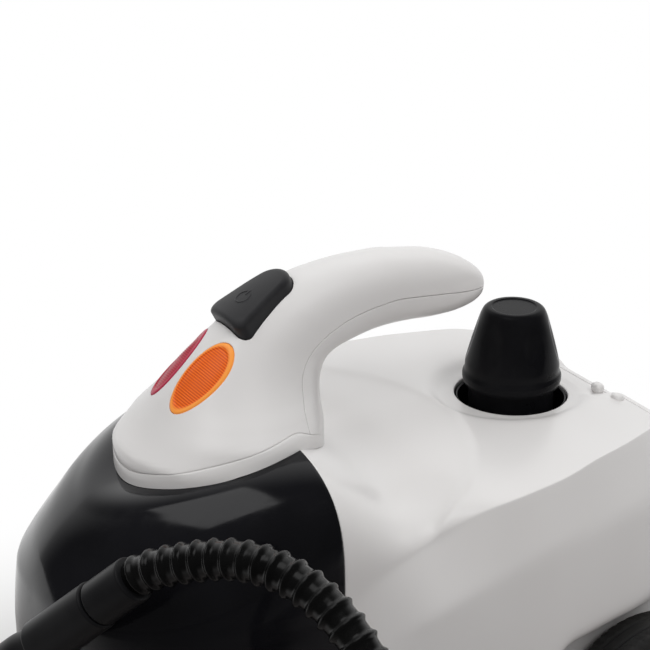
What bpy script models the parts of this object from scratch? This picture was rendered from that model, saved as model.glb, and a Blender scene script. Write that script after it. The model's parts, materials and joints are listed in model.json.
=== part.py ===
"""Canister steam cleaner: shells, handle, safety cap, boiler, valve, wheels, parked gun and ribbed hose.

Metres, +Z up, front towards -Y. The origin is on the floor under the middle of the machine.
"""

import math

import bmesh
import bpy
import numpy as np
from mathutils import Matrix, Vector
from mathutils.bvhtree import BVHTree

# How finely round things are drawn
FINE_ARCS = 32
ROUND_ARCS = 24
SMALL_ARCS = 16
TINY_ARCS = 12
SMOOTH_DEGREES = 35
SHARP_DEGREES = 50
PRINT_DIGITS = 5

# General clearances and cuts
GAP = 0.0003
OVERRUN = 0.004
SHELL_WALL = 0.0025
WELD = 0.00001

# Looks of the materials: colour, roughness and how metallic
LOOKS = {
    "white_shell": ((0.74, 0.73, 0.72), 0.32, 0.0),
    "black_gloss": ((0.012, 0.012, 0.014), 0.08, 0.0),
    "black_satin": ((0.020, 0.020, 0.021), 0.42, 0.0),
    "black_rubber": ((0.018, 0.018, 0.018), 0.55, 0.0),
    "steel": ((0.62, 0.62, 0.64), 0.28, 1.0),
    "brass": ((0.78, 0.57, 0.25), 0.30, 1.0),
    "aluminium": ((0.76, 0.77, 0.78), 0.38, 1.0),
    "grey_plastic": ((0.22, 0.22, 0.23), 0.45, 0.0),
    "red_lens": ((0.45, 0.015, 0.03), 0.20, 0.0),
    "amber_lens": ((0.80, 0.17, 0.01), 0.20, 0.0),
}

# Corners of a box as signs, and its faces
BOX_SIGNS = tuple((x, y, z) for z in (-1, 1) for x, y in ((-1, -1), (1, -1), (1, 1), (-1, 1)))
BOX_FACES = ((0, 3, 2, 1), (4, 5, 6, 7), (0, 1, 5, 4), (1, 2, 6, 5), (2, 3, 7, 6), (3, 0, 4, 7))

# Overall places
SEAM_Y = -0.051
BODY_LENGTH = 0.192
REAR_Y = SEAM_Y + BODY_LENGTH
BASE_Z = 0.036
ROOF_Z = 0.184
SHOULDER_HALF_WIDTH = 0.100
HIP_HALF_WIDTH = 0.110
HIP_Z = 0.157
FLANK_Z = 0.104
TUCK_Z = 0.093

# Front cover: how far it reaches and how high it is in front, for points of the seam from crown to foot
NOSE_REACH = 0.117
NOSE_TOP_Z = 0.204
NOSE_FRONT_Z = 0.100
NOSE_RINGS = (1, 2, 3, 4, 5, 6, 8, 11, 12, 13)
NOSE_REACH_SHARES = (0.468, 0.688, 0.776, 0.866, 0.940, 0.979, 1.0, 1.0, 0.996, 0.974)
NOSE_Z_SHARES = (0.918, 0.899, 0.866, 0.821, 0.763, 0.689, 0.5585, 0.490, 0.304, 0.1765)
NOSE_SHARP = 1.71
NOSE_FULL = 2.35
NOSE_FULL_Z = 0.140
NOSE_SHARP_Z = 0.181
NOSE_ARCS = 24

# Sections of the body along its length, as shares of the sizes above
STATION_SHARES = (0.0, 0.083, 0.198, 0.365, 0.495, 0.573, 0.703, 0.844, 1.0)
SHOULDER_X_SHARES = (0.835, 0.87, 0.92, 1.0, 0.975, 0.95, 0.88, 0.80, 0.65)
SHOULDER_Z_SHARES = (0.761, 0.832, 0.904, 0.985, 0.990, 0.993, 1.0, 1.0, 0.978)
CROWN_Z_SHARES = (1.1087, 1.076, 1.041, 1.011, 1.005, 1.003, 1.003, 1.003, 0.983)
ROUNDNESS_SHARES = (3.7, 2.9, 2.2, 2.0, 2.0, 2.0, 2.0, 2.0, 2.0)
HIP_X_SHARES = (0.773, 0.85, 0.955, 1.0, 0.985, 0.965, 0.92, 0.87, 0.75)
HIP_Z_SHARES = (0.70, 0.79, 0.888, 0.965, 0.992, 1.0, 1.0, 1.0, 0.987)
FLANK_X_SHARES = (0.773, 0.885, 0.985, 1.045, 1.035, 0.955, 0.90, 0.85, 0.725)
TUCK_X_SHARES = (0.773, 0.885, 0.985, 1.045, 1.035, 0.775, 0.765, 0.755, 0.715)
FOOT_X_SHARES = (0.727, 0.83, 0.92, 0.975, 0.965, 0.765, 0.755, 0.745, 0.700)
ROOF_ANGLES = tuple(math.radians(a) for a in (0, 12, 28, 44, 60, 75, 90))
FLANK_STEP_SHARES = (0.5, 1.0)
BODY_STATION_SHARES = (0.0, 0.07, 0.14, 0.22, 0.30, 0.40, 0.495, 0.534, 0.573, 0.66, 0.76, 0.86, 1.0)

# Scoop under the grip, dish round the cap and drain channel behind it
SCOOP_PLACE_SHARE = 0.541667
SCOOP_EDGE_Y = SEAM_Y + BODY_LENGTH * SCOOP_PLACE_SHARE
SCOOP_SPREAD = 0.1667
SCOOP_DEPTH = 0.009
SCOOP_RISE = 0.026
SCOOP_FADE = 0.030
CAP_PLACE_SHARE = 0.765625
CAP_Y = SEAM_Y + BODY_LENGTH * CAP_PLACE_SHARE
DISH_RADIUS = 0.047
DISH_DEPTH = 0.0040
CHANNEL_HALF_WIDTH = 0.027
CHANNEL_EDGE = 0.010
CHANNEL_DEPTH = 0.0028

# Rear cover
REAR_BULGE = 0.0075
REAR_STEP_SHARES = ((0.975, 0.55), (0.90, 0.92), (0.74, 1.0))
REAR_SILL_POINTS = 9
GLAND_X = 0.040
GLAND_Z = 0.054
GLAND_RADIUS = 0.009
GLAND_BORE = 0.0045
GLAND_LENGTH = 0.016
GLAND_FLANGE = 0.013
GLAND_FLANGE_THICKNESS = 0.003

# Parking lugs on the rear edge
LUG_XS = (0.0187, 0.0345)
LUG_HALF_WIDTH = 0.0034
LUG_HEIGHT = 0.0063
LUG_DEPTH = 0.0044
LUG_BASE = 0.0020

# Handle: foot outline and the line of its sections
FOOT_AHEAD = 0.072
FOOT_FRONT_Y = SEAM_Y - FOOT_AHEAD
COLLAR_HEIGHT = 0.0070
FOOT_HALVINGS = 24
COLLAR_LIFT = 0.0019
HANDLE_TOP_Z = 0.2715
HANDLE_LENGTH = 0.199
HANDLE_RISE = 0.0725
GRIP_HALF_WIDTH = 0.0166
HANDLE_FRONT_SHARES = ((0.029, 0.0), (0.074, 0.100), (0.109, 0.192), (0.141, 0.294), (0.198, 0.473),
                       (0.270, 0.657), (0.348, 0.808), (0.418, 0.903), (0.503, 0.968), (0.618, 1.0),
                       (0.690, 1.0), (0.759, 0.976), (0.820, 0.950), (0.867, 0.916), (0.930, 0.840),
                       (0.970, 0.760), (0.996, 0.665))
HANDLE_REAR_SHARES = ((0.515, -0.060), (0.512, 0.060), (0.510, 0.170), (0.515, 0.260), (0.5265, 0.345),
                      (0.545, 0.410), (0.572, 0.445), (0.598, 0.462), (0.625, 0.475), (0.668, 0.494),
                      (0.715, 0.502), (0.761, 0.500), (0.822, 0.490), (0.870, 0.492), (0.930, 0.512),
                      (0.970, 0.555), (0.996, 0.640))
HANDLE_WIDTH_SHARES = (2.85, 2.80, 2.43, 2.01, 1.62, 1.38, 1.26, 1.19, 1.11, 1.045, 1.02, 1.0, 0.985, 0.965,
                       0.80, 0.56, 0.10)
HANDLE_SPLIT_SHARES = (0.66, 0.66, 0.655, 0.65, 0.62, 0.59, 0.565, 0.55, 0.54, 0.53, 0.52, 0.52, 0.52, 0.52,
                       0.52, 0.52, 0.52)
HANDLE_ROUNDNESS = 2.35
HANDLE_STATIONS = (2.2, 3, 4, 5, 6, 7, 8.5, 10, 11.5, 13, 14, 15, 16)
HANDLE_WALL = 0.0022
HANDLE_WALL_SHARE = 0.45
HANDLE_ARCS = 16
HANDLE_LOWER_ARCS = 10
PATCH_STEP = 0.2

# Button and lights on the handle
BUTTON_SHARE = 6.30
BUTTON_LENGTH = 0.0375
BUTTON_HALF_WIDTH = 0.0148
BUTTON_REAR_RADIUS = 0.0085
BUTTON_CORNER = 0.0035
BUTTON_EDGE = 0.00117
BUTTON_CORNER_POINTS = 4
BUTTON_REAR_POINTS = 9
BUTTON_REAR_SPREAD = 1.15
BUTTON_PROUD = 0.0034
BUTTON_DEPTH = 0.0062
BUTTON_TRAVEL = 0.0020
BUTTON_CLEARANCE = 0.0004
LIGHT_SHARE = 3.95
LIGHT_X = 0.0122
LIGHT_HALF_LENGTH = 0.0194
LIGHT_HALF_WIDTH = 0.0094
LIGHT_PROUD = 0.0008
LIGHT_THICKNESS = 0.0034
LIGHT_CLEARANCE = 0.0004
SWITCH_HALF = (0.0130, 0.0105, 0.0065)
LAMP_RADIUS = 0.0034
LAMP_LENGTH = 0.0120

# Safety cap and the filler
CAP_Z = 0.1872
CAP_HEIGHT = 0.0401
CAP_RADIUS = 0.0250
CAP_PROFILE_SHARES = ((0.968, 0.0), (1.0, 0.055), (1.0, 0.125), (0.965, 0.16), (0.955, 0.21), (0.92, 0.34),
                      (0.836, 0.52), (0.74, 0.70), (0.657, 0.86), (0.61, 0.95), (0.585, 0.98), (0.545, 1.0))
CAP_SCALLOPS = 6
CAP_SCALLOP_DEPTH = 0.0013
CAP_SCALLOP_TURN = math.radians(-6.5)
CAP_SCALLOP_SHARES = (0.16, 0.92)
CAP_SCALLOP_FADES = (0.15, 0.20)
CAP_SMOOTH_DEGREES = 40
CAP_ARCS = 30
CAP_INSIDE_SHARE = 0.80
CAP_SKIRT_SHARE = 0.86
CAP_SKIRT = 0.0250
CAP_INSIDE_TOP = 0.0318
CAP_INSIDE_STEP_SHARE = 0.40
CAP_INSIDE_NECK_SHARE = 0.62
WELL_HOLE = 0.0288
WELL_WALL = 0.0018
WELL_TOP_DROP = 0.0035
WELL_DEPTH = 0.0285
WELL_FLOOR = 0.0022
NECK_RADIUS = 0.0135
NECK_BORE = 0.0107
NECK_TOP_Z = 0.1720
NECK_FLANGE = 0.0180
NECK_FLANGE_THICKNESS = 0.0025
PLUG_LENGTH = 0.0130
PLUG_CLEARANCE = 0.0004
PLUG_FLANGE = 0.0130
PLUG_FLANGE_THICKNESS = 0.0035
PLUG_STEM = 0.0090
PLUG_STEM_TOP_Z = 0.2187
PLUG_BORE = 0.0048
SEAL_THICKNESS = 0.0018
SPRING_RADIUS = 0.0034
SPRING_WIRE = 0.0005
SPRING_TURNS = 5
SPRING_POINTS = 8
SPRING_LENGTH = 0.0280
VALVE_RADIUS = 0.0040
VALVE_HEIGHT = 0.0050
VALVE_SEAT_Z = 0.1640
VALVE_BLEED = 0.0016

# Boiler
BOILER_AHEAD = 0.030
BOILER_Y = CAP_Y - BOILER_AHEAD
BOILER_RADIUS = 0.058
BOILER_FLANGE = 0.066
BOILER_FLANGE_THICKNESS = 0.0030
BOILER_FLANGE_Z = 0.0900
BOILER_BOTTOM_Z = 0.0460
BOILER_TOP_Z = 0.1400
BOILER_WALL = 0.0020
BOILER_ROUND_SHARES = ((1.0, 0.0), (0.985, 0.48), (0.92, 0.78), (0.80, 0.94), (0.64, 1.0))
GASKET_THICKNESS = 0.0015
CRADLE_RADIUS = 0.0600
CRADLE_WALL = 0.0020
CRADLE_LEG_COUNT = 4
CRADLE_WINDOW_HEIGHT = 0.026
ELEMENT_RING = 0.0300
ELEMENT_RADIUS = 0.0036
ELEMENT_SWEEP = math.radians(300)
ELEMENT_POINTS = 16
THERMOSTAT_RADIUS = 0.0085
THERMOSTAT_HEIGHT = 0.0080
THERMOSTAT_XY = (-0.024, BOILER_Y - 0.010)
PRESSURE_RADIUS = 0.0125
PRESSURE_HEIGHT = 0.0180
PRESSURE_XY = (0.021, BOILER_Y - 0.014)
OUTLET_XY = (0.0, BOILER_Y - 0.032)
OUTLET_RADIUS = 0.0055
OUTLET_HEIGHT = 0.0090

# Steam valve, pipes and hose socket
VALVE_BLOCK_HALF = (0.013, 0.011, 0.012)
VALVE_BLOCK_Y = SEAM_Y - 0.009
VALVE_BLOCK_EDGE = 0.0010
SOLENOID_RADIUS = 0.0125
SOLENOID_LENGTH = 0.0300
PIPE_RADIUS = 0.0032
PIPE_BEND_POINTS = 4
PIPE_BEND_SHARE = 2.5
PIPE_RISE_SHARE = 3.5
SOCKET_Z = 0.0950
SOCKET_RADIUS = 0.0165
SOCKET_BORE = 0.0072
SOCKET_PROUD = 0.0125
SOCKET_FRONT_Y = SEAM_Y - NOSE_REACH - SOCKET_PROUD
SOCKET_LENGTH = 0.0240
SOCKET_FLANGE_THICKNESS = 0.0030
VALVE_STAND_HALF_WIDTH = 0.0090

# Tray and electrical block
TRAY_THICKNESS = 0.0057
TRAY_INSET = 0.0012
TRAY_MIDDLE_SHARE = 0.25
TERMINAL_HALF = (0.0170, 0.0080, 0.0080)
TERMINAL_XY = (-0.038, SEAM_Y + 0.021)
TERMINAL_EDGE = 0.0009

# Rear wheels
WHEEL_AHEAD = 0.029
WHEEL_Y = REAR_Y - WHEEL_AHEAD
WHEEL_RADIUS = 0.0470
WHEEL_WIDTH = 0.0225
WHEEL_INNER_X = 0.0890
WHEEL_BORE = 0.0043
WHEEL_CROWN_SHARES = ((0.0, 0.955), (0.10, 0.99), (0.24, 1.0), (0.76, 1.0), (0.90, 0.99), (1.0, 0.955))
WHEEL_DISH_RADIUS = 0.0330
WHEEL_DISH_DEPTH = 0.0050
HUBCAP_RADIUS = 0.0290
HUBCAP_THICKNESS = 0.0030
HUBCAP_DOME = 0.0018
HUBCAP_SHARES = ((0.7, 0.25), (0.3, 0.0))
PIN_RADIUS = 0.0040
PIN_HEAD = 0.0075
PIN_HEAD_THICKNESS = 0.0015
BRACKET_THICKNESS = 0.0060
BRACKET_HALF_LENGTH = 0.0120
BRACKET_TOP = 0.0120
BRACKET_GAP = 0.0045

# Front caster
CASTER_PLACE_SHARE = 0.57265
CASTER_Y = SEAM_Y - NOSE_REACH * CASTER_PLACE_SHARE
CASTER_TRAIL = 0.0070
CASTER_RADIUS = 0.0125
CASTER_WIDTH = 0.0100
CASTER_CHEEK = 0.0022
CASTER_CHEEK_SHARE = 0.62
CASTER_CHEEK_SHIFT_SHARE = 0.25
CASTER_CHEEK_FOOT_SHARE = 2.5
CASTER_TREAD_SHARE = 0.60
CASTER_EDGE_SHARE = 0.93
CASTER_SIDE_GAP = 0.0005
CASTER_PLATE = 0.0030
CASTER_PLATE_RADIUS = 0.0125
CASTER_STEM = 0.0045
CASTER_STEM_LENGTH = 0.0170
CASTER_PIN = 0.0016
CASTER_PIN_CLEARANCE = 0.0001
CASTER_BOSS = 0.0100
CASTER_BOSS_HEIGHT = 0.0120
CASTER_CLEARANCE = 0.0004

# Steam gun parked at the back, its outline in the X-Z plane
GUN_BEHIND = 0.0245
GUN_Y = REAR_Y + GUN_BEHIND
GUN_HALF_THICKNESS = 0.0150
GUN_X = -0.0220
GUN_TOP_Z = 0.1460
GUN_BARREL_HALF = 0.0165
GUN_BARREL_LENGTH = 0.0780
GUN_HANDLE_LENGTH = 0.0850
GUN_HANDLE_HALF = 0.0150
GUN_HANDLE_SLOPE = math.radians(24)
GUN_CORNER = 0.0100
GUN_WALL = 0.0022
GUN_ROUND = 0.0040
GUN_SLIM_SHARE = 0.80
GUN_THROAT_SHARE = 1.7
GUN_THROAT_POINTS = 4
GUN_HEAD_POINTS = 5
GUN_ROUND_SHARE = 0.30
GUN_PIPE_SHARE = 0.35
NOZZLE_RADIUS = 0.0100
NOZZLE_LENGTH = 0.0280
NOZZLE_TIP_SHARE = 0.60
NOZZLE_BORE = 0.0030
NOZZLE_COLLAR_SHARE = 0.35
TRIGGER_LENGTH = 0.0420
TRIGGER_THICKNESS = 0.0075
TRIGGER_HALF_WIDTH = 0.0060
TRIGGER_OUT = 0.0120
TRIGGER_PIVOT_IN = 0.0060
TRIGGER_CLEARANCE = 0.0005
TRIGGER_SWEEP_ROOM = 0.0012
TRIGGER_SWEEP_SHARES = (1.2, 0.4)
TRIGGER_PIVOT_SHARE = 1.35
TRIGGER_BEND_SHARES = (0.25, 0.75)
TRIGGER_BACK_SHARE = 0.60
LOCK_HALF = (0.0045, 0.0040, 0.0022)
LOCK_SHARE = 0.42
HOLSTER_WALL = 0.0025
HOLSTER_HEIGHT = 0.0280
HOLSTER_Z = 0.0600
HOLSTER_CLEARANCE = 0.0005
HOLSTER_FLOOR = 0.0030

# Hose
HOSE_RADIUS = 0.0090
HOSE_ROOT_SHARE = 0.86
HOSE_BORE_RADIUS = 0.0056
RIB_PITCH = 0.0087
BORE_STEP = 0.0240
HOSE_LEAD_SHARE = 0.7
HOSE_STEPS_PER_RIB = 4
HOSE_APART_SHARE = 8
ELBOW_RADIUS = 0.0108
ELBOW_BEND = 0.0130
ELBOW_POINTS = 9
ELBOW_REACH_SHARE = 1.75
ELBOW_TANGENT_SHARE = 1.55
ELBOW_STUB = 0.0068
ELBOW_STUB_LENGTH = 0.0140
ELBOW_BORE = 0.0045
SLEEVE_START = 0.0590
SLEEVE_RADIUS = 0.0112
CUFF_START = 0.0985
CUFF_RADIUS = 0.0104
CUFF_ARCS = 20
END_CUFF_LENGTH = 0.0240
COIL_CENTRE = (0.248, 0.034)
COIL_START_RADIUS = 0.0970
COIL_PITCH = 0.0194
COIL_HALF_STRAIGHT = 0.0180
COIL_START_DEGREES = -62
COIL_RAMP_DEGREES = 60
COIL_RAMP = 0.0220
COIL_STEP_DEGREES = 15
COIL_STRETCHES = ((0, 180, True), (180, 360, False), (360, 450, True))

# The route of the hose outside its coil, chosen by hand
FRONT_ROUTE = ((0.0667, -0.1465, 0.1735), (0.0835, -0.1322, 0.1884), (0.1045, -0.1160, 0.1942),
               (0.1280, -0.1038, 0.1910), (0.1500, -0.0955, 0.1795), (0.1690, -0.0905, 0.1620),
               (0.1850, -0.0880, 0.1405), (0.1985, -0.0870, 0.1175), (0.2120, -0.0865, 0.0950),
               (0.2280, -0.0860, 0.0740), (0.2475, -0.0840, 0.0560), (0.2700, -0.0790, 0.0422))
REAR_ROUTE_BEHIND = ((0.1885, 0.0113, 0.0096), (0.1660, 0.0107, 0.0137), (0.1452, 0.0087, 0.0257),
                     (0.1298, 0.0055, 0.0435), (0.1188, 0.0028, 0.0595), (0.1070, 0.0008, 0.0708))
REAR_ROUTE = tuple((x, GUN_Y + behind, z) for x, behind, z in REAR_ROUTE_BEHIND)


def clear_scene():
    """Removes whatever the scene holds."""
    for old in list(bpy.data.objects):
        bpy.data.objects.remove(old, do_unlink=True)


MATERIALS = {}


def material(name):
    """One Principled material by its name in LOOKS, made on first use."""
    if name not in MATERIALS:
        colour, roughness, metallic = LOOKS[name]
        made = bpy.data.materials.new(name)
        made.use_nodes = True
        shader = made.node_tree.nodes["Principled BSDF"]
        shader.inputs["Base Color"].default_value = (*colour, 1.0)
        shader.inputs["Roughness"].default_value = roughness
        shader.inputs["Metallic"].default_value = metallic
        MATERIALS[name] = made
    return MATERIALS[name]


def white():
    """The white shell plastic."""
    return material("white_shell")


def black_gloss():
    """The gloss black plastic of the nose."""
    return material("black_gloss")


def black_satin():
    """The satin black plastic of cap, button and fittings."""
    return material("black_satin")


def black_rubber():
    """The black rubber of tyres, hose and seals."""
    return material("black_rubber")


def steel():
    """Bright steel."""
    return material("steel")


def brass():
    """Brass."""
    return material("brass")


def aluminium():
    """Cast aluminium."""
    return material("aluminium")


def grey_plastic():
    """Grey plastic of the inner parts."""
    return material("grey_plastic")


def link(name, mesh, look):
    """Puts a mesh in the scene as one named object with its material."""
    made = bpy.data.objects.new(name, mesh)
    bpy.context.scene.collection.objects.link(made)
    mesh.materials.append(look)
    return made


def smooth(thing, degrees=SMOOTH_DEGREES):
    """Smooth shading, sharp where faces meet at more than an angle."""
    thing.data.shade_smooth()
    thing.data.set_sharp_from_angle(angle=math.radians(degrees))
    return thing


def mesh_from(name, points, faces):
    """A mesh with its faces turned outwards."""
    mesh = bpy.data.meshes.new(name)
    mesh.from_pydata([tuple(p) for p in points], [], faces)
    work = bmesh.new()
    work.from_mesh(mesh)
    bmesh.ops.recalc_face_normals(work, faces=work.faces)
    work.to_mesh(mesh)
    work.free()
    return mesh


def solid(name, points, faces, look, degrees=SMOOTH_DEGREES):
    """A piece from its points and faces, shaded smooth."""
    return smooth(link(name, mesh_from(name, points, faces), look), degrees)


def grid_faces(rows, columns, closed=False):
    """Quads of a grid of points stored row by row; closed joins the last column to the first."""
    faces = []
    wide = columns if closed else columns - 1
    for r in range(rows - 1):
        for c in range(wide):
            d = (c + 1) % columns
            faces.append((r * columns + c, r * columns + d, (r + 1) * columns + d, (r + 1) * columns + c))
    return faces


def lathe(name, profile, look, centre=(0, 0, 0), axis="Z", arcs=ROUND_ARCS, radius_at=None,
          degrees=SMOOTH_DEGREES):
    """Turns a closed profile of (radius, height) pairs round an axis through centre."""
    count = len(profile)
    points = []
    for k in range(arcs):
        angle = 2 * math.pi * k / arcs
        for radius, height in profile:
            r = radius_at(radius, height, angle) if radius_at else radius
            across, up = r * math.cos(angle), r * math.sin(angle)
            if axis == "Z":
                p = (across, up, height)
            elif axis == "Y":
                p = (up, height, across)
            else:
                p = (height, across, up)
            points.append(tuple(a + b for a, b in zip(p, centre)))
    faces = []
    for k in range(arcs):
        nxt = (k + 1) % arcs
        for j in range(count):
            i = (j + 1) % count
            faces.append((k * count + j, nxt * count + j, nxt * count + i, k * count + i))
    return solid(name, points, faces, look, degrees)


def ring(name, outer, inner, low, high, look, centre=(0, 0, 0), axis="Z", arcs=ROUND_ARCS):
    """A plain turned sleeve."""
    return lathe(name, ((inner, low), (outer, low), (outer, high), (inner, high)), look, centre, axis, arcs)


def turned(name, profile, look, centre=(0, 0, 0), axis="Z", arcs=ROUND_ARCS, degrees=SMOOTH_DEGREES):
    """Turns a profile that starts and ends on the axis into a full body."""
    inner = profile[1:-1]
    count = len(inner)
    points = []
    for k in range(arcs):
        angle = 2 * math.pi * k / arcs
        for radius, height in inner:
            across, up = radius * math.cos(angle), radius * math.sin(angle)
            if axis == "Z":
                p = (across, up, height)
            elif axis == "Y":
                p = (up, height, across)
            else:
                p = (height, across, up)
            points.append(tuple(a + b for a, b in zip(p, centre)))
    faces = []
    for k in range(arcs):
        nxt = (k + 1) % arcs
        for j in range(count - 1):
            faces.append((k * count + j, nxt * count + j, nxt * count + j + 1, k * count + j + 1))
    faces.append(tuple(k * count for k in range(arcs)))
    faces.append(tuple(k * count + count - 1 for k in range(arcs)))
    return solid(name, points, faces, look, degrees)


def disc(name, radius, low, high, look, centre=(0, 0, 0), axis="Z", arcs=ROUND_ARCS):
    """A plain turned disc."""
    return turned(name, ((0, low), (radius, low), (radius, high), (0, high)), look, centre, axis, arcs)


def rod(name, radius, start, end, look, arcs=ROUND_ARCS):
    """A plain cylinder between two points."""
    a, b = Vector(start), Vector(end)
    along = (b - a).normalized()
    side = along.orthogonal().normalized()
    other = along.cross(side)
    points = []
    for place in (a, b):
        for k in range(arcs):
            angle = 2 * math.pi * k / arcs
            points.append(place + side * radius * math.cos(angle) + other * radius * math.sin(angle))
    faces = grid_faces(2, arcs, closed=True)
    faces.append(tuple(range(arcs)))
    faces.append(tuple(range(arcs, 2 * arcs)))
    return solid(name, points, faces, look)


def block(name, centre, half, look, bevel=0.0):
    """A box with its edges rounded by a bevel."""
    points = [tuple(c + s * h for c, s, h in zip(centre, sign, half)) for sign in BOX_SIGNS]
    made = solid(name, points, BOX_FACES, look)
    if bevel:
        rounding = made.modifiers.new("rounded", "BEVEL")
        rounding.width = bevel
        rounding.segments = 2
    return made


def upright(a, b, h):
    """A place of an outline that lies level."""
    return a, b, h


def prism(name, outline, low, high, look, place=upright, degrees=SMOOTH_DEGREES):
    """Extrudes a flat outline between two heights; place maps (a, b, height) to the world."""
    count = len(outline)
    points = [place(a, b, low) for a, b in outline] + [place(a, b, high) for a, b in outline]
    faces = grid_faces(2, count, closed=True)
    faces.append(tuple(range(count)))
    faces.append(tuple(range(count, 2 * count)))
    return solid(name, points, faces, look, degrees)


def cutter(thing):
    """Marks a shape as a cutter that isn't part of the model."""
    thing.hide_render = True
    thing.display_type = "WIRE"
    return thing


def cut(thing, tool, operation="DIFFERENCE"):
    """A Boolean of one object by another."""
    change = thing.modifiers.new(tool.name, "BOOLEAN")
    change.operation = operation
    change.solver = "EXACT"
    change.object = cutter(tool)
    return thing


def thicken(thing, wall):
    """Gives an open sheet its wall, inwards from its faces."""
    change = thing.modifiers.new("wall", "SOLIDIFY")
    change.thickness = wall
    change.offset = -1.0
    change.use_even_offset = True
    return thing


def sheet(name, rows, columns, points, look, inside, wall, degrees=SMOOTH_DEGREES):
    """A grid of points as a walled shell whose faces look away from the point inside."""
    faces = grid_faces(rows, columns)
    mesh = bpy.data.meshes.new(name)
    mesh.from_pydata([tuple(p) for p in points], [], faces)
    middle = mesh.polygons[len(faces) // 2]
    if middle.normal.dot(middle.center - Vector(inside)) < 0:
        mesh.flip_normals()
    made = smooth(link(name, mesh, look), degrees)
    return thicken(made, wall)


def curve_through(shares, values, at):
    """Monotone cubic reading of a table of values at a share."""
    x, y = np.array(shares, float), np.array(values, float)
    h = np.diff(x)
    slope = np.diff(y) / h
    tangent = np.zeros(len(x))
    for k in range(1, len(x) - 1):
        if slope[k - 1] * slope[k] > 0:
            w1, w2 = 2 * h[k] + h[k - 1], h[k] + 2 * h[k - 1]
            tangent[k] = (w1 + w2) / (w1 / slope[k - 1] + w2 / slope[k])
    tangent[0], tangent[-1] = slope[0], slope[-1]
    at = min(max(at, x[0]), x[-1])
    k = min(int(np.searchsorted(x, at, side="right")) - 1, len(x) - 2)
    t = (at - x[k]) / h[k]
    return float((2 * t**3 - 3 * t**2 + 1) * y[k] + (t**3 - 2 * t**2 + t) * h[k] * tangent[k]
                 + (3 * t**2 - 2 * t**3) * y[k + 1] + (t**3 - t**2) * h[k] * tangent[k + 1])


def ease(t):
    """Smooth step from 0 to 1."""
    t = min(max(t, 0.0), 1.0)
    return t * t * (3 - 2 * t)


def spline(points, step):
    """Points of a smooth curve through given points, about one step apart."""
    p = np.array(points, float)
    t = np.concatenate([[0.0], np.cumsum(np.linalg.norm(np.diff(p, axis=0), axis=1))])
    n, h = len(t), np.diff(t)
    matrix, right = np.zeros((n, n)), np.zeros((n, 3))
    matrix[0, 0] = matrix[-1, -1] = 1
    for i in range(1, n - 1):
        matrix[i, i - 1], matrix[i, i], matrix[i, i + 1] = h[i - 1], 2 * (h[i - 1] + h[i]), h[i]
        right[i] = 6 * ((p[i + 1] - p[i]) / h[i] - (p[i] - p[i - 1]) / h[i - 1])
    bend = np.linalg.solve(matrix, right)
    count = max(2, int(round(t[-1] / step)))
    made = []
    for k in range(count + 1):
        s = t[-1] * k / count
        i = min(max(int(np.searchsorted(t, s, side="right")) - 1, 0), n - 2)
        a, b, w = t[i + 1] - s, s - t[i], h[i]
        made.append(bend[i] * a**3 / (6 * w) + bend[i + 1] * b**3 / (6 * w)
                    + (p[i] / w - bend[i] * w / 6) * a + (p[i + 1] / w - bend[i + 1] * w / 6) * b)
    return np.array(made)


def tube(name, points, radii, look, sides=2):
    """A round tube along points, as a bevelled poly curve turned into a mesh."""
    curve = bpy.data.curves.new(name, "CURVE")
    curve.dimensions = "3D"
    curve.bevel_depth = 1.0
    curve.bevel_resolution = sides
    curve.use_fill_caps = True
    line = curve.splines.new("POLY")
    line.points.add(len(points) - 1)
    for k, p in enumerate(points):
        line.points[k].co = (*p, 1.0)
        line.points[k].radius = radii[k] if hasattr(radii, "__len__") else radii
    made = bpy.data.objects.new(name, curve)
    bpy.context.scene.collection.objects.link(made)
    curve.materials.append(look)
    return made


# The body's outer form


def section(y):
    """Half section of the body at a place along its length: shoulder, crown, hip and foot."""
    share = (y - SEAM_Y) / BODY_LENGTH

    def read(table):
        return curve_through(STATION_SHARES, table, share)

    return {
        "shoulder": (SHOULDER_HALF_WIDTH * read(SHOULDER_X_SHARES), ROOF_Z * read(SHOULDER_Z_SHARES)),
        "crown": ROOF_Z * read(CROWN_Z_SHARES),
        "roundness": read(ROUNDNESS_SHARES),
        "hip": (HIP_HALF_WIDTH * read(HIP_X_SHARES), HIP_Z * read(HIP_Z_SHARES)),
        "flank": (HIP_HALF_WIDTH * read(FLANK_X_SHARES), FLANK_Z),
        "tuck": (HIP_HALF_WIDTH * read(TUCK_X_SHARES), TUCK_Z),
        "foot": (HIP_HALF_WIDTH * read(FOOT_X_SHARES), BASE_Z),
    }


def hollows(x, y):
    """How far the roof is sunk at a place by the scoop, the dish and the drain channel."""
    edge = SCOOP_EDGE_Y - x * x / SCOOP_SPREAD
    scoop = SCOOP_DEPTH * ease((edge - y) / SCOOP_RISE) * ease((y - SEAM_Y) / SCOOP_FADE)
    away = math.hypot(x, y - CAP_Y)
    dish = DISH_DEPTH * ease((DISH_RADIUS - away) / (DISH_RADIUS - WELL_HOLE))
    beside = ease((CHANNEL_HALF_WIDTH - abs(x)) / CHANNEL_EDGE)
    behind = ease((y - CAP_Y) / CHANNEL_HALF_WIDTH)
    return scoop + max(dish, CHANNEL_DEPTH * beside * behind)


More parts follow.
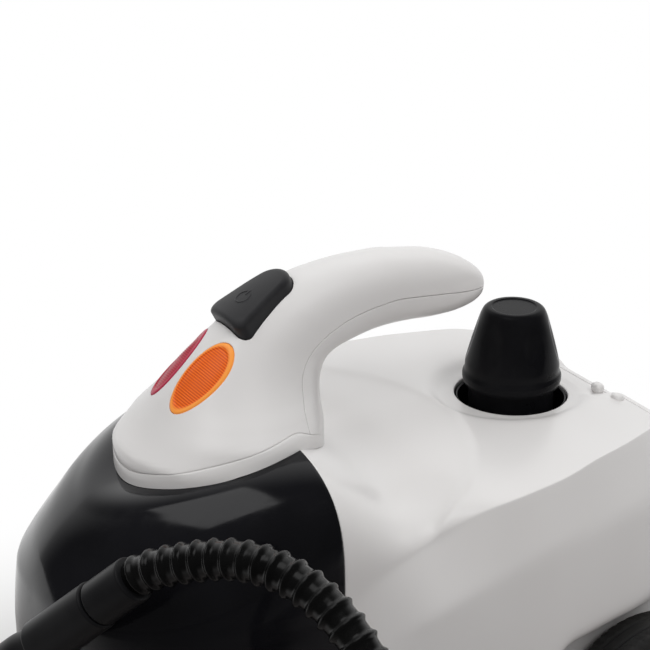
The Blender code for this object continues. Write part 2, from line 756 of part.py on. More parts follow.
def half_line(y):
    """Points of the body's section at y, from the middle of the roof down one side."""
    s = section(y)
    (sx, sz), (hx, hz) = s["shoulder"], s["hip"]
    power = 2 / s["roundness"]
    line = []
    for angle in ROOF_ANGLES:
        x = sx * math.sin(angle) ** power
        z = sz + (s["crown"] - sz) * max(math.cos(angle), 0.0) ** power
        if angle < ROOF_ANGLES[-1]:
            z -= hollows(x, y)
        line.append((x, z))
    for t in FLANK_STEP_SHARES:
        line.append((sx + (hx - sx) * t, sz + (hz - sz) * t))
    (fx, fz), (tx, tz), (bx, bz) = s["flank"], s["tuck"], s["foot"]
    line += [((hx + fx) / 2, (hz + fz) / 2), (fx, fz), (tx, tz), ((tx + bx) / 2, (tz + bz) / 2), (bx, bz)]
    return line


def body_stations():
    """Places along the body, close where the form turns."""
    return [SEAM_Y + BODY_LENGTH * share for share in BODY_STATION_SHARES]


def full_line(y):
    """The whole section at y, from one foot over the roof to the other."""
    half = half_line(y)
    left = [(-x, z) for x, z in reversed(half[1:])]
    return [(x, y, z) for x, z in left + half]


def slab(name, low, high):
    """A cutter that takes away everything between two places along the machine."""
    reach = BODY_LENGTH
    return block(name, (0, (low + high) / 2, reach / 2), (reach, (high - low) / 2, reach), white())


def main_shell():
    """The white body shell, open below, in front and behind."""
    rows = [full_line(y) for y in body_stations()]
    rows.insert(0, [(x, y - OVERRUN, z) for x, y, z in rows[0]])
    columns = len(rows[0])
    inside = (0.0, CAP_Y, (BASE_Z + ROOF_Z) / 2)
    points = [p for row in rows for p in row]
    made = sheet("main_shell", len(rows), columns, points, white(), inside, SHELL_WALL)
    cut(made, slab("seam_trim", SEAM_Y - 3 * OVERRUN, SEAM_Y + GAP))
    well = cutter(rod("well_hole", WELL_HOLE, (0, CAP_Y, ROOF_Z - WELL_DEPTH),
                      (0, CAP_Y, ROOF_Z + OVERRUN), white(), FINE_ARCS))
    cut(made, well)
    for x in LUG_XS:
        line = full_line(REAR_Y - LUG_DEPTH)
        base = float(np.interp(x, [p[0] for p in line], [p[2] for p in line])) - LUG_BASE
        lug = block("rear_lug", (x, REAR_Y - LUG_DEPTH / 2 - GAP, base + LUG_HEIGHT / 2),
                    (LUG_HALF_WIDTH, LUG_DEPTH / 2, LUG_HEIGHT / 2), white())
        cut(made, lug, "UNION")
    for side in (1, -1):
        start = (side * (WHEEL_INNER_X - BRACKET_THICKNESS * 2), WHEEL_Y, WHEEL_RADIUS)
        end = (side * (WHEEL_INNER_X + OVERRUN), WHEEL_Y, WHEEL_RADIUS)
        cut(made, rod("axle_hole", WHEEL_BORE, start, end, white()))
    return made


def nose_point(number, azimuth):
    """A point of the front cover on one of its rings, swept from side to side.

    Seen from above each ring is a super-ellipse; its height goes from the seam's to the front's.
    """
    x, side_z = half_line(SEAM_Y)[NOSE_RINGS[number]]
    reach, front_z = NOSE_REACH * NOSE_REACH_SHARES[number], NOSE_TOP_Z * NOSE_Z_SHARES[number]
    full = ease((NOSE_SHARP_Z - side_z) / (NOSE_SHARP_Z - NOSE_FULL_Z))
    power = 2 / (NOSE_SHARP + (NOSE_FULL - NOSE_SHARP) * full)
    across = math.copysign(abs(math.cos(azimuth)) ** power, math.cos(azimuth))
    ahead = max(math.sin(azimuth), 0.0) ** power
    return (x * across, SEAM_Y - reach * ahead, side_z + (front_z - side_z) * math.sin(azimuth) ** 2)


def nose_rows(numbers):
    """Rings of the front cover as rows of points."""
    angles = [math.pi * k / NOSE_ARCS for k in range(NOSE_ARCS + 1)]
    return [[nose_point(number, angle) for angle in angles] for number in numbers]


def front_cover():
    """The glossy black nose, open below and behind, with a hole under the handle and one for the socket."""
    rows = []
    for row in nose_rows(range(len(NOSE_RINGS))):
        first, last = row[0], row[-1]
        row = [(first[0], first[1] + OVERRUN, first[2])] + row + [(last[0], last[1] + OVERRUN, last[2])]
        rows.append(row)
    inside = (0.0, SEAM_Y, NOSE_FRONT_Z)
    made = sheet("front_cover", len(rows), len(rows[0]), [p for r in rows for p in r], black_gloss(), inside,
                 SHELL_WALL)
    cut(made, slab("front_trim", SEAM_Y, SEAM_Y + 3 * OVERRUN))
    hole = rod("socket_hole", SOCKET_RADIUS + GAP, (0, SOCKET_FRONT_Y - OVERRUN, SOCKET_Z),
               (0, SEAM_Y - NOSE_REACH + SOCKET_LENGTH, SOCKET_Z), black_gloss())
    return cut(made, hole)


def rear_cover():
    """The rear panel, bulging slightly, with holes for the mains gland."""
    rim = [Vector(p) for p in full_line(REAR_Y)]
    sill = np.linspace(rim[-1].x, rim[0].x, REAR_SILL_POINTS)[1:-1]
    low = [Vector((x, REAR_Y, BASE_Z)) for x in sill]
    loop = rim + low
    middle = Vector((0, 0, (BASE_Z + ROOF_Z) / 2))
    count = len(loop)
    points = []
    for share, back in ((1.0, -OVERRUN / REAR_BULGE), (1.0, 0.0), *REAR_STEP_SHARES):
        for p in loop:
            offset = (p - Vector((0, p.y, 0)) - middle) * share
            points.append((offset.x, REAR_Y + GAP + REAR_BULGE * back, middle.z + offset.z))
    faces = grid_faces(len(REAR_STEP_SHARES) + 2, count, closed=True)
    faces.append(tuple(range(len(points) - count, len(points))))
    mesh = bpy.data.meshes.new("rear_cover")
    mesh.from_pydata(points, [], faces)
    if mesh.polygons[len(faces) - 1].normal.y < 0:
        mesh.flip_normals()
    made = thicken(smooth(link("rear_cover", mesh, white())), SHELL_WALL)
    cut(made, slab("rear_trim", REAR_Y - 3 * OVERRUN, REAR_Y + GAP))
    start, end = (GLAND_X, CAP_Y, GLAND_Z), (GLAND_X, GUN_Y, GLAND_Z)
    hole = rod("gland_hole", GLAND_RADIUS + GAP, start, end, white())
    return cut(made, hole)


def outer_surface():
    """A search tree over the closed outer form of the body and the front cover."""
    points, faces = [], []
    body = [full_line(y) for y in body_stations()]
    for rows in (body, nose_rows(range(len(NOSE_RINGS)))):
        start = len(points)
        points += [p for row in rows for p in row]
        faces += [tuple(i + start for i in f) for f in grid_faces(len(rows), len(rows[0]))]
    return BVHTree.FromPolygons([Vector(p) for p in points], faces)


def height_over(tree, x, y):
    """Height of the body's outer surface above a place, or the crown where it is open."""
    hit = tree.ray_cast(Vector((x, y, HANDLE_TOP_Z)), Vector((0, 0, -1)))[0]
    return hit.z if hit else NOSE_TOP_Z


# The handle


def handle_frame(share):
    """Middle, upward vector, half height, half width and split of the handle's section at a station."""
    count = len(HANDLE_FRONT_SHARES)
    at = list(range(count))
    base_z = HANDLE_TOP_Z - HANDLE_RISE

    def place(table):
        along, above = (curve_through(at, [row[k] for row in table], share) for k in (0, 1))
        return Vector((0, FOOT_FRONT_Y + HANDLE_LENGTH * along, base_z + HANDLE_RISE * above))

    front, rear = place(HANDLE_FRONT_SHARES), place(HANDLE_REAR_SHARES)
    width = GRIP_HALF_WIDTH * curve_through(at, HANDLE_WIDTH_SHARES, share)
    split = math.pi * curve_through(at, HANDLE_SPLIT_SHARES, share)
    return (front + rear) / 2, (front - rear).normalized(), (front - rear).length / 2, width, split


def handle_point(share, angle, out=0.0):
    """A point of the handle's skin at a station and an angle from its front line, out from the skin."""
    middle, up, half, width, _ = handle_frame(share)
    power = 2 / HANDLE_ROUNDNESS
    across = math.copysign(abs(math.sin(angle)) ** power, math.sin(angle)) * (width + out)
    above = math.copysign(abs(math.cos(angle)) ** power, math.cos(angle)) * (half + out)
    return middle + Vector((across, 0, 0)) + up * above


def foot_share(angle, inset, tree, lift):
    """The station at which a line along the handle meets the body's surface, lifted."""
    low, high = -1.0, HANDLE_STATIONS[0]
    for _ in range(FOOT_HALVINGS):
        middle = (low + high) / 2
        p = along_handle(middle, angle, inset)
        if p.z < height_over(tree, p.x, p.y) + lift:
            low = middle
        else:
            high = middle
    return (low + high) / 2


def along_handle(share, angle, inset):
    """A point of the handle's skin, carried on straight down below its first station."""
    p = handle_point(max(share, 0.0), angle, -min(inset, skin_limit(max(share, 0.0))))
    return p + Vector((0, 0, min(share, 0.0) * COLLAR_HEIGHT * 2))


def skin_limit(share):
    """The thickest wall that the handle's section still has room for."""
    _, _, half, width, _ = handle_frame(share)
    return HANDLE_WALL_SHARE * min(width, half)


def handle_angles(share, upper):
    """Angles of the columns of one half of the handle's skin at a station."""
    _, _, half, width, split = handle_frame(share)
    open_by = GAP / 2 / max(width, half)
    if upper:
        return [(2 * k / HANDLE_ARCS - 1) * (split - open_by) for k in range(HANDLE_ARCS + 1)]
    arcs = HANDLE_LOWER_ARCS
    return [split + open_by + (2 * math.pi - 2 * split - 2 * open_by) * k / arcs for k in range(arcs + 1)]


def collar(tree):
    """The band between the handle and the body: the handle's own form, its foot following the body."""
    angles = handle_angles(0, True) + handle_angles(0, False)[1:-1]
    loop = []
    for inset, lifts in ((0.0, (COLLAR_LIFT, COLLAR_HEIGHT)), (HANDLE_WALL, (COLLAR_HEIGHT, COLLAR_LIFT))):
        for lift in lifts:
            loop.append([along_handle(foot_share(a, inset, tree, lift), a, inset) for a in angles])
    count, wide = len(loop), len(angles)
    points = [p for row in loop for p in row]
    faces = []
    for r in range(count):
        s = (r + 1) % count
        for c in range(wide):
            d = (c + 1) % wide
            faces.append((r * wide + c, r * wide + d, s * wide + d, s * wide + c))
    return solid("handle_collar", points, faces, white(), SHARP_DEGREES)


def handle_skin(upper, inset, tree):
    """Rows of points of one half of the handle's skin, or of its inner face, from its foot upwards."""
    angles = handle_angles(0, upper)
    feet = [foot_share(a, inset, tree, COLLAR_HEIGHT + GAP) for a in angles]
    rows = [[along_handle(f, a, inset) for f, a in zip(feet, angles)],
            [along_handle((f + HANDLE_STATIONS[0]) / 2, a, inset) for f, a in zip(feet, angles)]]
    for share in HANDLE_STATIONS:
        rows.append([along_handle(share, a, inset) for a in handle_angles(share, upper)])
    return rows


def handle_shell(name, upper, tree):
    """Half of the handle's skin: the upper shell over the front line, or the lower one under the grip."""
    outer, inner = handle_skin(upper, 0.0, tree), handle_skin(upper, HANDLE_WALL, tree)
    rows, columns = len(outer), len(outer[0])
    points = [p for row in outer for p in row] + [p for row in inner for p in row]
    half = rows * columns
    faces = grid_faces(rows, columns)
    faces += [tuple(i + half for i in f) for f in faces]
    rim = list(range(columns)) + [r * columns + columns - 1 for r in range(1, rows)]
    rim += [(rows - 1) * columns + c for c in range(columns - 2, -1, -1)]
    rim += [r * columns for r in range(rows - 2, 0, -1)]
    for a, b in zip(rim, rim[1:] + rim[:1]):
        faces.append((a, b, b + half, a + half))
    return solid(name, points, faces, white(), SHARP_DEGREES)


def patch_place(share, x, along, out):
    """Maps a place round a point of the handle's front line to the world.

    The patch's axes are the tangent of the front line and the world's X; out is along its normal.
    """
    a, b = handle_point(share - PATCH_STEP, 0.0), handle_point(share + PATCH_STEP, 0.0)
    tangent = (b - a).normalized()
    normal = Vector((0, -tangent.z, tangent.y))
    return handle_point(share, 0.0) + tangent * along + Vector((x, 0, 0)) + normal * out, tangent, normal


def skin_drop(share, x):
    """How far the skin falls below the front line at a distance from the middle."""
    _, _, half, width, _ = handle_frame(share)
    inside = max(1 - abs(x / width) ** HANDLE_ROUNDNESS, 0.0)
    return half * (1 - inside ** (1 / HANDLE_ROUNDNESS))


def button_outline(grow):
    """The button's outline: straight wide front, rounded narrow rear."""
    half, width, rear = BUTTON_LENGTH / 2 + grow, BUTTON_HALF_WIDTH + grow, BUTTON_REAR_RADIUS + grow
    corner = BUTTON_CORNER
    points = []
    for k in range(BUTTON_CORNER_POINTS + 1):
        a = math.pi / 2 * k / BUTTON_CORNER_POINTS
        points.append((-width + corner - corner * math.cos(a), -half + corner - corner * math.sin(a)))
    points += [(-x, y) for x, y in reversed(points)]
    for k in range(1, BUTTON_REAR_POINTS):
        a = math.pi * k / BUTTON_REAR_POINTS
        points.append((rear * math.cos(a) * BUTTON_REAR_SPREAD, half - rear + rear * math.sin(a)))
    return points


def on_button(a, b, h):
    """A place over the button's patch of the handle."""
    return patch_place(BUTTON_SHARE, a, b, h)[0]


def power_button():
    """The rocker key on top of the handle."""
    made = prism("power_button", button_outline(0.0), -BUTTON_DEPTH, BUTTON_PROUD, black_satin(), on_button)
    rounding = made.modifiers.new("rounded", "BEVEL")
    rounding.width = BUTTON_EDGE
    rounding.segments = 2
    rounding.limit_method = "ANGLE"
    rounding.angle_limit = math.radians(SHARP_DEGREES)
    return made


def light_grid(side, grow, out, rings=3, arcs=SMALL_ARCS):
    """Rings of points of an oval patch that follows the handle's skin."""
    rows = []
    for r in range(rings + 1):
        row = []
        for k in range(arcs):
            a = 2 * math.pi * k / arcs
            x = side * LIGHT_X + (LIGHT_HALF_WIDTH + grow) * r / rings * math.cos(a)
            along = (LIGHT_HALF_LENGTH + grow) * r / rings * math.sin(a)
            p, _, normal = patch_place(LIGHT_SHARE, x, along, 0.0)
            row.append(p + normal * (out - skin_drop(LIGHT_SHARE, x)))
        rows.append(row)
    return rows


def light_solid(name, side, grow, high, low, look):
    """An oval block between two skins."""
    arcs = SMALL_ARCS
    upper, lower = light_grid(side, grow, high), light_grid(side, grow, low)
    points = [upper[0][0]] + [p for row in upper[1:] for p in row]
    points += [lower[0][0]] + [p for row in lower[1:] for p in row]
    half = len(points) // 2
    faces = []
    for start in (0, half):
        faces += [(start, start + 1 + k, start + 1 + (k + 1) % arcs) for k in range(arcs)]
        faces += [tuple(start + 1 + i for i in f) for f in grid_faces(len(upper) - 1, arcs, closed=True)]
    edge = half - arcs
    for k in range(arcs):
        d = (k + 1) % arcs
        faces.append((edge + k, edge + d, edge + d + half, edge + k + half))
    return solid(name, points, faces, look)


def lights():
    """The red and the amber lens with a lamp behind each."""
    for name, side in (("red_lens", -1), ("amber_lens", 1)):
        light_solid(name, side, 0.0, LIGHT_PROUD, LIGHT_PROUD - LIGHT_THICKNESS, material(name))
        base = patch_place(LIGHT_SHARE, side * LIGHT_X, 0.0, 0.0)
        depth = LIGHT_PROUD - LIGHT_THICKNESS - skin_drop(LIGHT_SHARE, LIGHT_X + LAMP_RADIUS) - GAP
        start = base[0] + base[2] * depth
        end = start - base[2] * LAMP_LENGTH
        rod(name.replace("lens", "lamp"), LAMP_RADIUS, start, end, grey_plastic(), SMALL_ARCS)


def handle(tree):
    """Collar, two shells, button, lights and the switch under the button."""
    collar(tree)
    upper = handle_shell("handle_upper_shell", True, tree)
    handle_shell("handle_lower_shell", False, tree)
    hole = prism("button_hole", button_outline(BUTTON_CLEARANCE), -BUTTON_DEPTH * 2, BUTTON_PROUD + OVERRUN,
                 white(), on_button)
    cut(upper, hole)
    for side in (1, -1):
        cut(upper, light_solid("light_hole", side, LIGHT_CLEARANCE, OVERRUN, -OVERRUN, white()))
    power_button()
    lights()
    top = -BUTTON_DEPTH - BUTTON_TRAVEL - GAP
    half = SWITCH_HALF
    outline = [(-half[0], -half[1]), (half[0], -half[1]), (half[0], half[1]), (-half[0], half[1])]
    return prism("switch_body", outline, top - 2 * half[2], top, grey_plastic(), on_button)


# The cap and the filler


def scalloped(radius, height, angle):
    """The cap's outline with finger scallops that fade out at its foot and its top."""
    share = (height - CAP_Z) / CAP_HEIGHT
    (low, high), (rise, fall) = CAP_SCALLOP_SHARES, CAP_SCALLOP_FADES
    fade = ease((share - low) / rise) * ease((high - share) / fall)
    wave = (1 + math.cos(CAP_SCALLOPS * (angle - CAP_SCALLOP_TURN))) / 2
    return radius - CAP_SCALLOP_DEPTH * fade * wave**2


def safety_cap():
    """The scalloped cap, hollow from below, with a skirt that hides the neck."""
    foot = CAP_Z - CAP_SKIRT
    outer = [(CAP_RADIUS * CAP_SKIRT_SHARE, height) for height in (foot, CAP_Z)]
    outer += [(CAP_RADIUS * r, CAP_Z + CAP_HEIGHT * h) for r, h in CAP_PROFILE_SHARES]
    count = len(outer)
    points = []
    for radius, height in outer:
        for k in range(CAP_ARCS):
            a = 2 * math.pi * k / CAP_ARCS
            r = scalloped(radius, height, a)
            points.append((r * math.cos(a), CAP_Y + r * math.sin(a), height))
    inside = CAP_RADIUS * CAP_INSIDE_SHARE
    inner = ((inside, foot), (inside, CAP_Z + CAP_INSIDE_TOP * CAP_INSIDE_STEP_SHARE),
             (inside * CAP_INSIDE_NECK_SHARE, CAP_Z + CAP_INSIDE_TOP))
    for radius, height in inner:
        for k in range(CAP_ARCS):
            a = 2 * math.pi * k / CAP_ARCS
            points.append((radius * math.cos(a), CAP_Y + radius * math.sin(a), height))
    faces = grid_faces(count, CAP_ARCS, closed=True)
    start = count * CAP_ARCS
    faces += [tuple(i + start for i in f) for f in grid_faces(3, CAP_ARCS, closed=True)]
    faces.append(tuple((count - 1) * CAP_ARCS + k for k in range(CAP_ARCS)))
    faces.append(tuple(start + 2 * CAP_ARCS + k for k in range(CAP_ARCS)))
    for k in range(CAP_ARCS):
        d = (k + 1) % CAP_ARCS
        faces.append((k, d, start + d, start + k))
    return solid("safety_cap", points, faces, black_satin(), CAP_SMOOTH_DEGREES)


def filler():
    """Well in the roof, neck on the boiler, and the plug, seal, valve and spring that turn with the cap."""
    centre = (0, CAP_Y, 0)
    top = ROOF_Z - WELL_TOP_DROP
    outer, inner = WELL_HOLE - GAP, WELL_HOLE - GAP - WELL_WALL
    low = top - WELL_DEPTH
    floor, opening = low + WELL_FLOOR, NECK_RADIUS + GAP
    profile = ((outer, top), (outer, low), (opening, low), (opening, floor), (inner, floor), (inner, top))
    lathe("filler_well", profile, black_satin(), centre, arcs=FINE_ARCS)
    foot = BOILER_TOP_Z + GAP
    step = foot + NECK_FLANGE_THICKNESS
    profile = ((NECK_BORE, foot), (NECK_FLANGE, foot), (NECK_FLANGE, step), (NECK_RADIUS, step),
               (NECK_RADIUS, NECK_TOP_Z), (NECK_BORE, NECK_TOP_Z))
    lathe("filler_neck", profile, brass(), centre, arcs=SMALL_ARCS)
    seal_top = NECK_TOP_Z + GAP + SEAL_THICKNESS
    ring("cap_seal", PLUG_FLANGE, NECK_BORE, NECK_TOP_Z + GAP, seal_top, black_rubber(), centre,
         arcs=SMALL_ARCS)
    thread = NECK_BORE - PLUG_CLEARANCE
    bottom, flange = NECK_TOP_Z - PLUG_LENGTH, seal_top + GAP
    step = flange + PLUG_FLANGE_THICKNESS
    profile = ((VALVE_BLEED, bottom), (thread, bottom), (thread, flange), (PLUG_FLANGE, flange),
               (PLUG_FLANGE, step), (PLUG_STEM, step), (PLUG_STEM, PLUG_STEM_TOP_Z),
               (PLUG_BORE, PLUG_STEM_TOP_Z), (PLUG_BORE, VALVE_SEAT_Z), (VALVE_BLEED, VALVE_SEAT_Z))
    lathe("cap_plug", profile, brass(), centre, arcs=SMALL_ARCS)
    seat = VALVE_SEAT_Z + GAP
    disc("relief_valve", VALVE_RADIUS, seat, seat + VALVE_HEIGHT, steel(), centre, arcs=TINY_ARCS)
    start = seat + VALVE_HEIGHT + GAP + SPRING_WIRE
    count = SPRING_TURNS * SPRING_POINTS
    points = []
    for k in range(count + 1):
        a = 2 * math.pi * k / SPRING_POINTS
        points.append((SPRING_RADIUS * math.cos(a), CAP_Y + SPRING_RADIUS * math.sin(a),
                       start + SPRING_LENGTH * k / count))
    tube("relief_spring", points, SPRING_WIRE, steel(), 0)
    cap_bottom = start + SPRING_LENGTH + SPRING_WIRE + GAP
    disc("spring_retainer", PLUG_BORE - GAP, cap_bottom, PLUG_STEM_TOP_Z, brass(), centre, arcs=TINY_ARCS)


# The boiler and what is on it


def boiler():
    """Two drawn halves with a gasket, on a cradle, with its element, sensors and steam outlet."""
    centre = (0, BOILER_Y, 0)
    high = BOILER_TOP_Z - BOILER_FLANGE_Z - BOILER_FLANGE_THICKNESS - GASKET_THICKNESS
    base = BOILER_FLANGE_Z + BOILER_FLANGE_THICKNESS + GASKET_THICKNESS + 2 * GAP
    top_outer = [(BOILER_RADIUS * r, base + (BOILER_TOP_Z - base) * h) for r, h in BOILER_ROUND_SHARES]
    inside = [(BOILER_RADIUS * r - BOILER_WALL, base + (BOILER_TOP_Z - BOILER_WALL - base) * h)
              for r, h in BOILER_ROUND_SHARES]
    bore = OUTLET_RADIUS / 2
    points = [(BOILER_FLANGE, base), (BOILER_FLANGE, base + BOILER_FLANGE_THICKNESS),
              (BOILER_RADIUS, base + BOILER_FLANGE_THICKNESS)]
    points += top_outer[1:] + [(bore, BOILER_TOP_Z), (bore, BOILER_TOP_Z - BOILER_WALL)]
    points += inside[::-1]
    upper = lathe("boiler_upper", points, aluminium(), centre, degrees=SHARP_DEGREES)
    for word, radius, spot, arcs in (("neck_opening", NECK_BORE, (0, CAP_Y), ROUND_ARCS),
                                     ("steam_opening", OUTLET_RADIUS / 2, OUTLET_XY, TINY_ARCS)):
        start, end = (*spot, BOILER_TOP_Z - high / 2), (*spot, BOILER_TOP_Z + OVERRUN)
        cut(upper, rod(word, radius, start, end, steel(), arcs))
    ring("boiler_gasket", BOILER_FLANGE, BOILER_RADIUS, BOILER_FLANGE_Z + BOILER_FLANGE_THICKNESS + GAP,
         base - GAP, black_rubber(), centre)
    deep = BOILER_BOTTOM_Z - BOILER_FLANGE_Z
    bottom = [(BOILER_RADIUS * r, BOILER_FLANGE_Z + deep * h) for r, h in BOILER_ROUND_SHARES]
    hollow = [(BOILER_RADIUS * r - BOILER_WALL, BOILER_FLANGE_Z + (deep + BOILER_WALL) * h)
              for r, h in BOILER_ROUND_SHARES]
    hollow[0] = (hollow[0][0], BOILER_FLANGE_Z + BOILER_FLANGE_THICKNESS)
    profile = [(BOILER_FLANGE, BOILER_FLANGE_Z), (BOILER_FLANGE, BOILER_FLANGE_Z + BOILER_FLANGE_THICKNESS)]
    profile += hollow
    count = len(profile)
    arcs = ROUND_ARCS
    outline = profile + bottom[::-1]
    rows = []
    for k in range(arcs):
        a = 2 * math.pi * k / arcs
        rows += [(r * math.cos(a), BOILER_Y + r * math.sin(a), z) for r, z in outline]
    total = len(outline)
    faces = []
    for k in range(arcs):
        d = (k + 1) % arcs
        for j in range(total):
            i = (j + 1) % total
            if j != count - 1:
                faces.append((k * total + j, d * total + j, d * total + i, k * total + i))
    faces.append(tuple(k * total + count - 1 for k in range(arcs)))
    faces.append(tuple(k * total + count for k in range(arcs)))
    solid("boiler_lower", rows, faces, aluminium(), SHARP_DEGREES)
    cradle()
    points = []
    for k in range(ELEMENT_POINTS):
        a = ELEMENT_SWEEP * (k / (ELEMENT_POINTS - 1) - 0.5) + math.pi / 2
        points.append((ELEMENT_RING * math.cos(a), BOILER_Y + ELEMENT_RING * math.sin(a),
                       BOILER_BOTTOM_Z - ELEMENT_RADIUS - GAP))
    tube("heating_element", points, ELEMENT_RADIUS, steel(), 1)
    plate = BOILER_TOP_Z + GAP
    disc("thermostat", THERMOSTAT_RADIUS, plate, plate + THERMOSTAT_HEIGHT, black_satin(),
         (*THERMOSTAT_XY, 0), arcs=SMALL_ARCS)
    disc("pressure_switch", PRESSURE_RADIUS, plate, plate + PRESSURE_HEIGHT, grey_plastic(),
         (*PRESSURE_XY, 0), arcs=SMALL_ARCS)
    ring("steam_outlet", OUTLET_RADIUS, OUTLET_RADIUS / 2, plate, plate + OUTLET_HEIGHT, brass(),
         (*OUTLET_XY, 0), arcs=SMALL_ARCS)


def cradle():
    """Sheet-metal ring that carries the boiler's flange on the tray, with windows between its legs."""
    low, high = BASE_Z, BOILER_FLANGE_Z - GAP
    made = ring("boiler_cradle", CRADLE_RADIUS + CRADLE_WALL, CRADLE_RADIUS, low, high, steel(),
                (0, BOILER_Y, 0))
    reach = CRADLE_RADIUS + CRADLE_WALL + OVERRUN
    for k in range(CRADLE_LEG_COUNT // 2):
        a = math.pi * k / (CRADLE_LEG_COUNT // 2)
        along = Vector((math.cos(a), math.sin(a), 0)) * reach
        middle = Vector((0, BOILER_Y, low + CRADLE_WINDOW_HEIGHT / 2 + OVERRUN))
        half = (reach, CRADLE_RADIUS / 2, CRADLE_WINDOW_HEIGHT / 2)
        if abs(along.y) > abs(along.x):
            half = (half[1], half[0], half[2])
        cut(made, block("cradle_window", middle, half, steel()))


def pipe(name, points, look):
    """A pipe with rounded corners along a few points."""
    line = [Vector(points[0])]
    reach = PIPE_RADIUS * PIPE_BEND_SHARE
    for before, corner, after in zip(points, points[1:], points[2:]):
        b, c, a = Vector(before), Vector(corner), Vector(after)
        start, end = c + (b - c).normalized() * reach, c + (a - c).normalized() * reach
        for k in range(PIPE_BEND_POINTS + 1):
            t = k / PIPE_BEND_POINTS
            line.append(start * (1 - t) ** 2 + c * 2 * t * (1 - t) + end * t * t)
    line.append(Vector(points[-1]))
    return tube(name, line, PIPE_RADIUS, look, 1)


def steam_line():
    """Valve with its coil, the pipes before and behind it, and the hose socket in the nose."""
    hx, hy, hz = VALVE_BLOCK_HALF
    spot = (0, VALVE_BLOCK_Y, SOCKET_Z)
    block("steam_valve", spot, VALVE_BLOCK_HALF, brass(), VALVE_BLOCK_EDGE)
    disc("solenoid_coil", SOLENOID_RADIUS, hx + GAP, hx + GAP + SOLENOID_LENGTH, black_satin(), spot, "X",
         SMALL_ARCS)
    top = BOILER_TOP_Z + GAP + OUTLET_HEIGHT + GAP
    rise = top + PIPE_RADIUS * PIPE_RISE_SHARE
    pipe("steam_pipe", ((*OUTLET_XY, top), (*OUTLET_XY, rise), (0, VALVE_BLOCK_Y, rise),
                        (0, VALVE_BLOCK_Y, SOCKET_Z + hz + GAP)), steel())
    front = SOCKET_FRONT_Y
    back = front + SOCKET_LENGTH + ELBOW_STUB_LENGTH
    floor = back - SOCKET_FLANGE_THICKNESS
    start, end = (0, VALVE_BLOCK_Y - hy - GAP, SOCKET_Z), (0, back + GAP, SOCKET_Z)
    rod("outlet_pipe", PIPE_RADIUS, start, end, steel(), SMALL_ARCS)
    profile = ((SOCKET_BORE, front), (SOCKET_RADIUS, front), (SOCKET_RADIUS, back), (PIPE_RADIUS, back),
               (PIPE_RADIUS, floor), (SOCKET_BORE, floor))
    lathe("hose_socket", profile, black_satin(), (0, 0, SOCKET_Z), "Y")


# Tray, wheels and caster


def bracket_x():
    """Distance of the axle brackets' middle from the middle of the machine."""
    return WHEEL_INNER_X - SHELL_WALL - BRACKET_GAP - BRACKET_THICKNESS - BRACKET_THICKNESS / 2


def tray():
    """The floor pan closing the body from below, with the caster's boss, valve stand and axle brackets."""
    outline = [(x, y) for x, y, _ in nose_rows([len(NOSE_RINGS) - 1])[0]]
    left = [(-section(y)["foot"][0], y) for y in body_stations()[1:]]
    right = [(-x, y) for x, y in reversed(left)]
    outline += left + right
    shrink = []
    middle = SEAM_Y + BODY_LENGTH * TRAY_MIDDLE_SHARE
    for x, y in outline:
        away = Vector((x, y - middle))
        away -= away.normalized() * TRAY_INSET
        shrink.append((away.x, away.y + middle))
    top = BASE_Z - GAP
    made = prism("base_tray", shrink, top - TRAY_THICKNESS, top, grey_plastic())
    boss = rod("caster_boss", CASTER_BOSS, (0, CASTER_Y, top - TRAY_THICKNESS / 2),
               (0, CASTER_Y, top + CASTER_BOSS_HEIGHT), grey_plastic())
    cut(made, boss, "UNION")
    hole = rod("caster_hole", CASTER_STEM + CASTER_CLEARANCE, (0, CASTER_Y, top - TRAY_THICKNESS - OVERRUN),
               (0, CASTER_Y, top + CASTER_BOSS_HEIGHT + OVERRUN), grey_plastic())
    cut(made, hole)
    stand_top = SOCKET_Z - VALVE_BLOCK_HALF[2] - GAP
    stand = block("valve_stand", (0, VALVE_BLOCK_Y, (top - GAP + stand_top) / 2),
                  (VALVE_STAND_HALF_WIDTH, VALVE_BLOCK_HALF[1] / 2, (stand_top - top + GAP) / 2),
                  grey_plastic())
    cut(made, stand, "UNION")
    high = WHEEL_RADIUS + BRACKET_TOP
    for side in (1, -1):
        x = side * bracket_x()
        bracket = block("axle_bracket", (x, WHEEL_Y, (top - GAP + high) / 2),
                        (BRACKET_THICKNESS / 2, BRACKET_HALF_LENGTH, (high - top + GAP) / 2), grey_plastic())
        cut(made, bracket, "UNION")
        cut(made, rod("bracket_hole", PIN_RADIUS + GAP, (x - BRACKET_THICKNESS, WHEEL_Y, WHEEL_RADIUS),
                      (x + BRACKET_THICKNESS, WHEEL_Y, WHEEL_RADIUS), grey_plastic()))
    return made


def on_side(profile, side):
    """A profile along X, turned to one side of the machine."""
    return [(radius, side * reach) for radius, reach in profile]


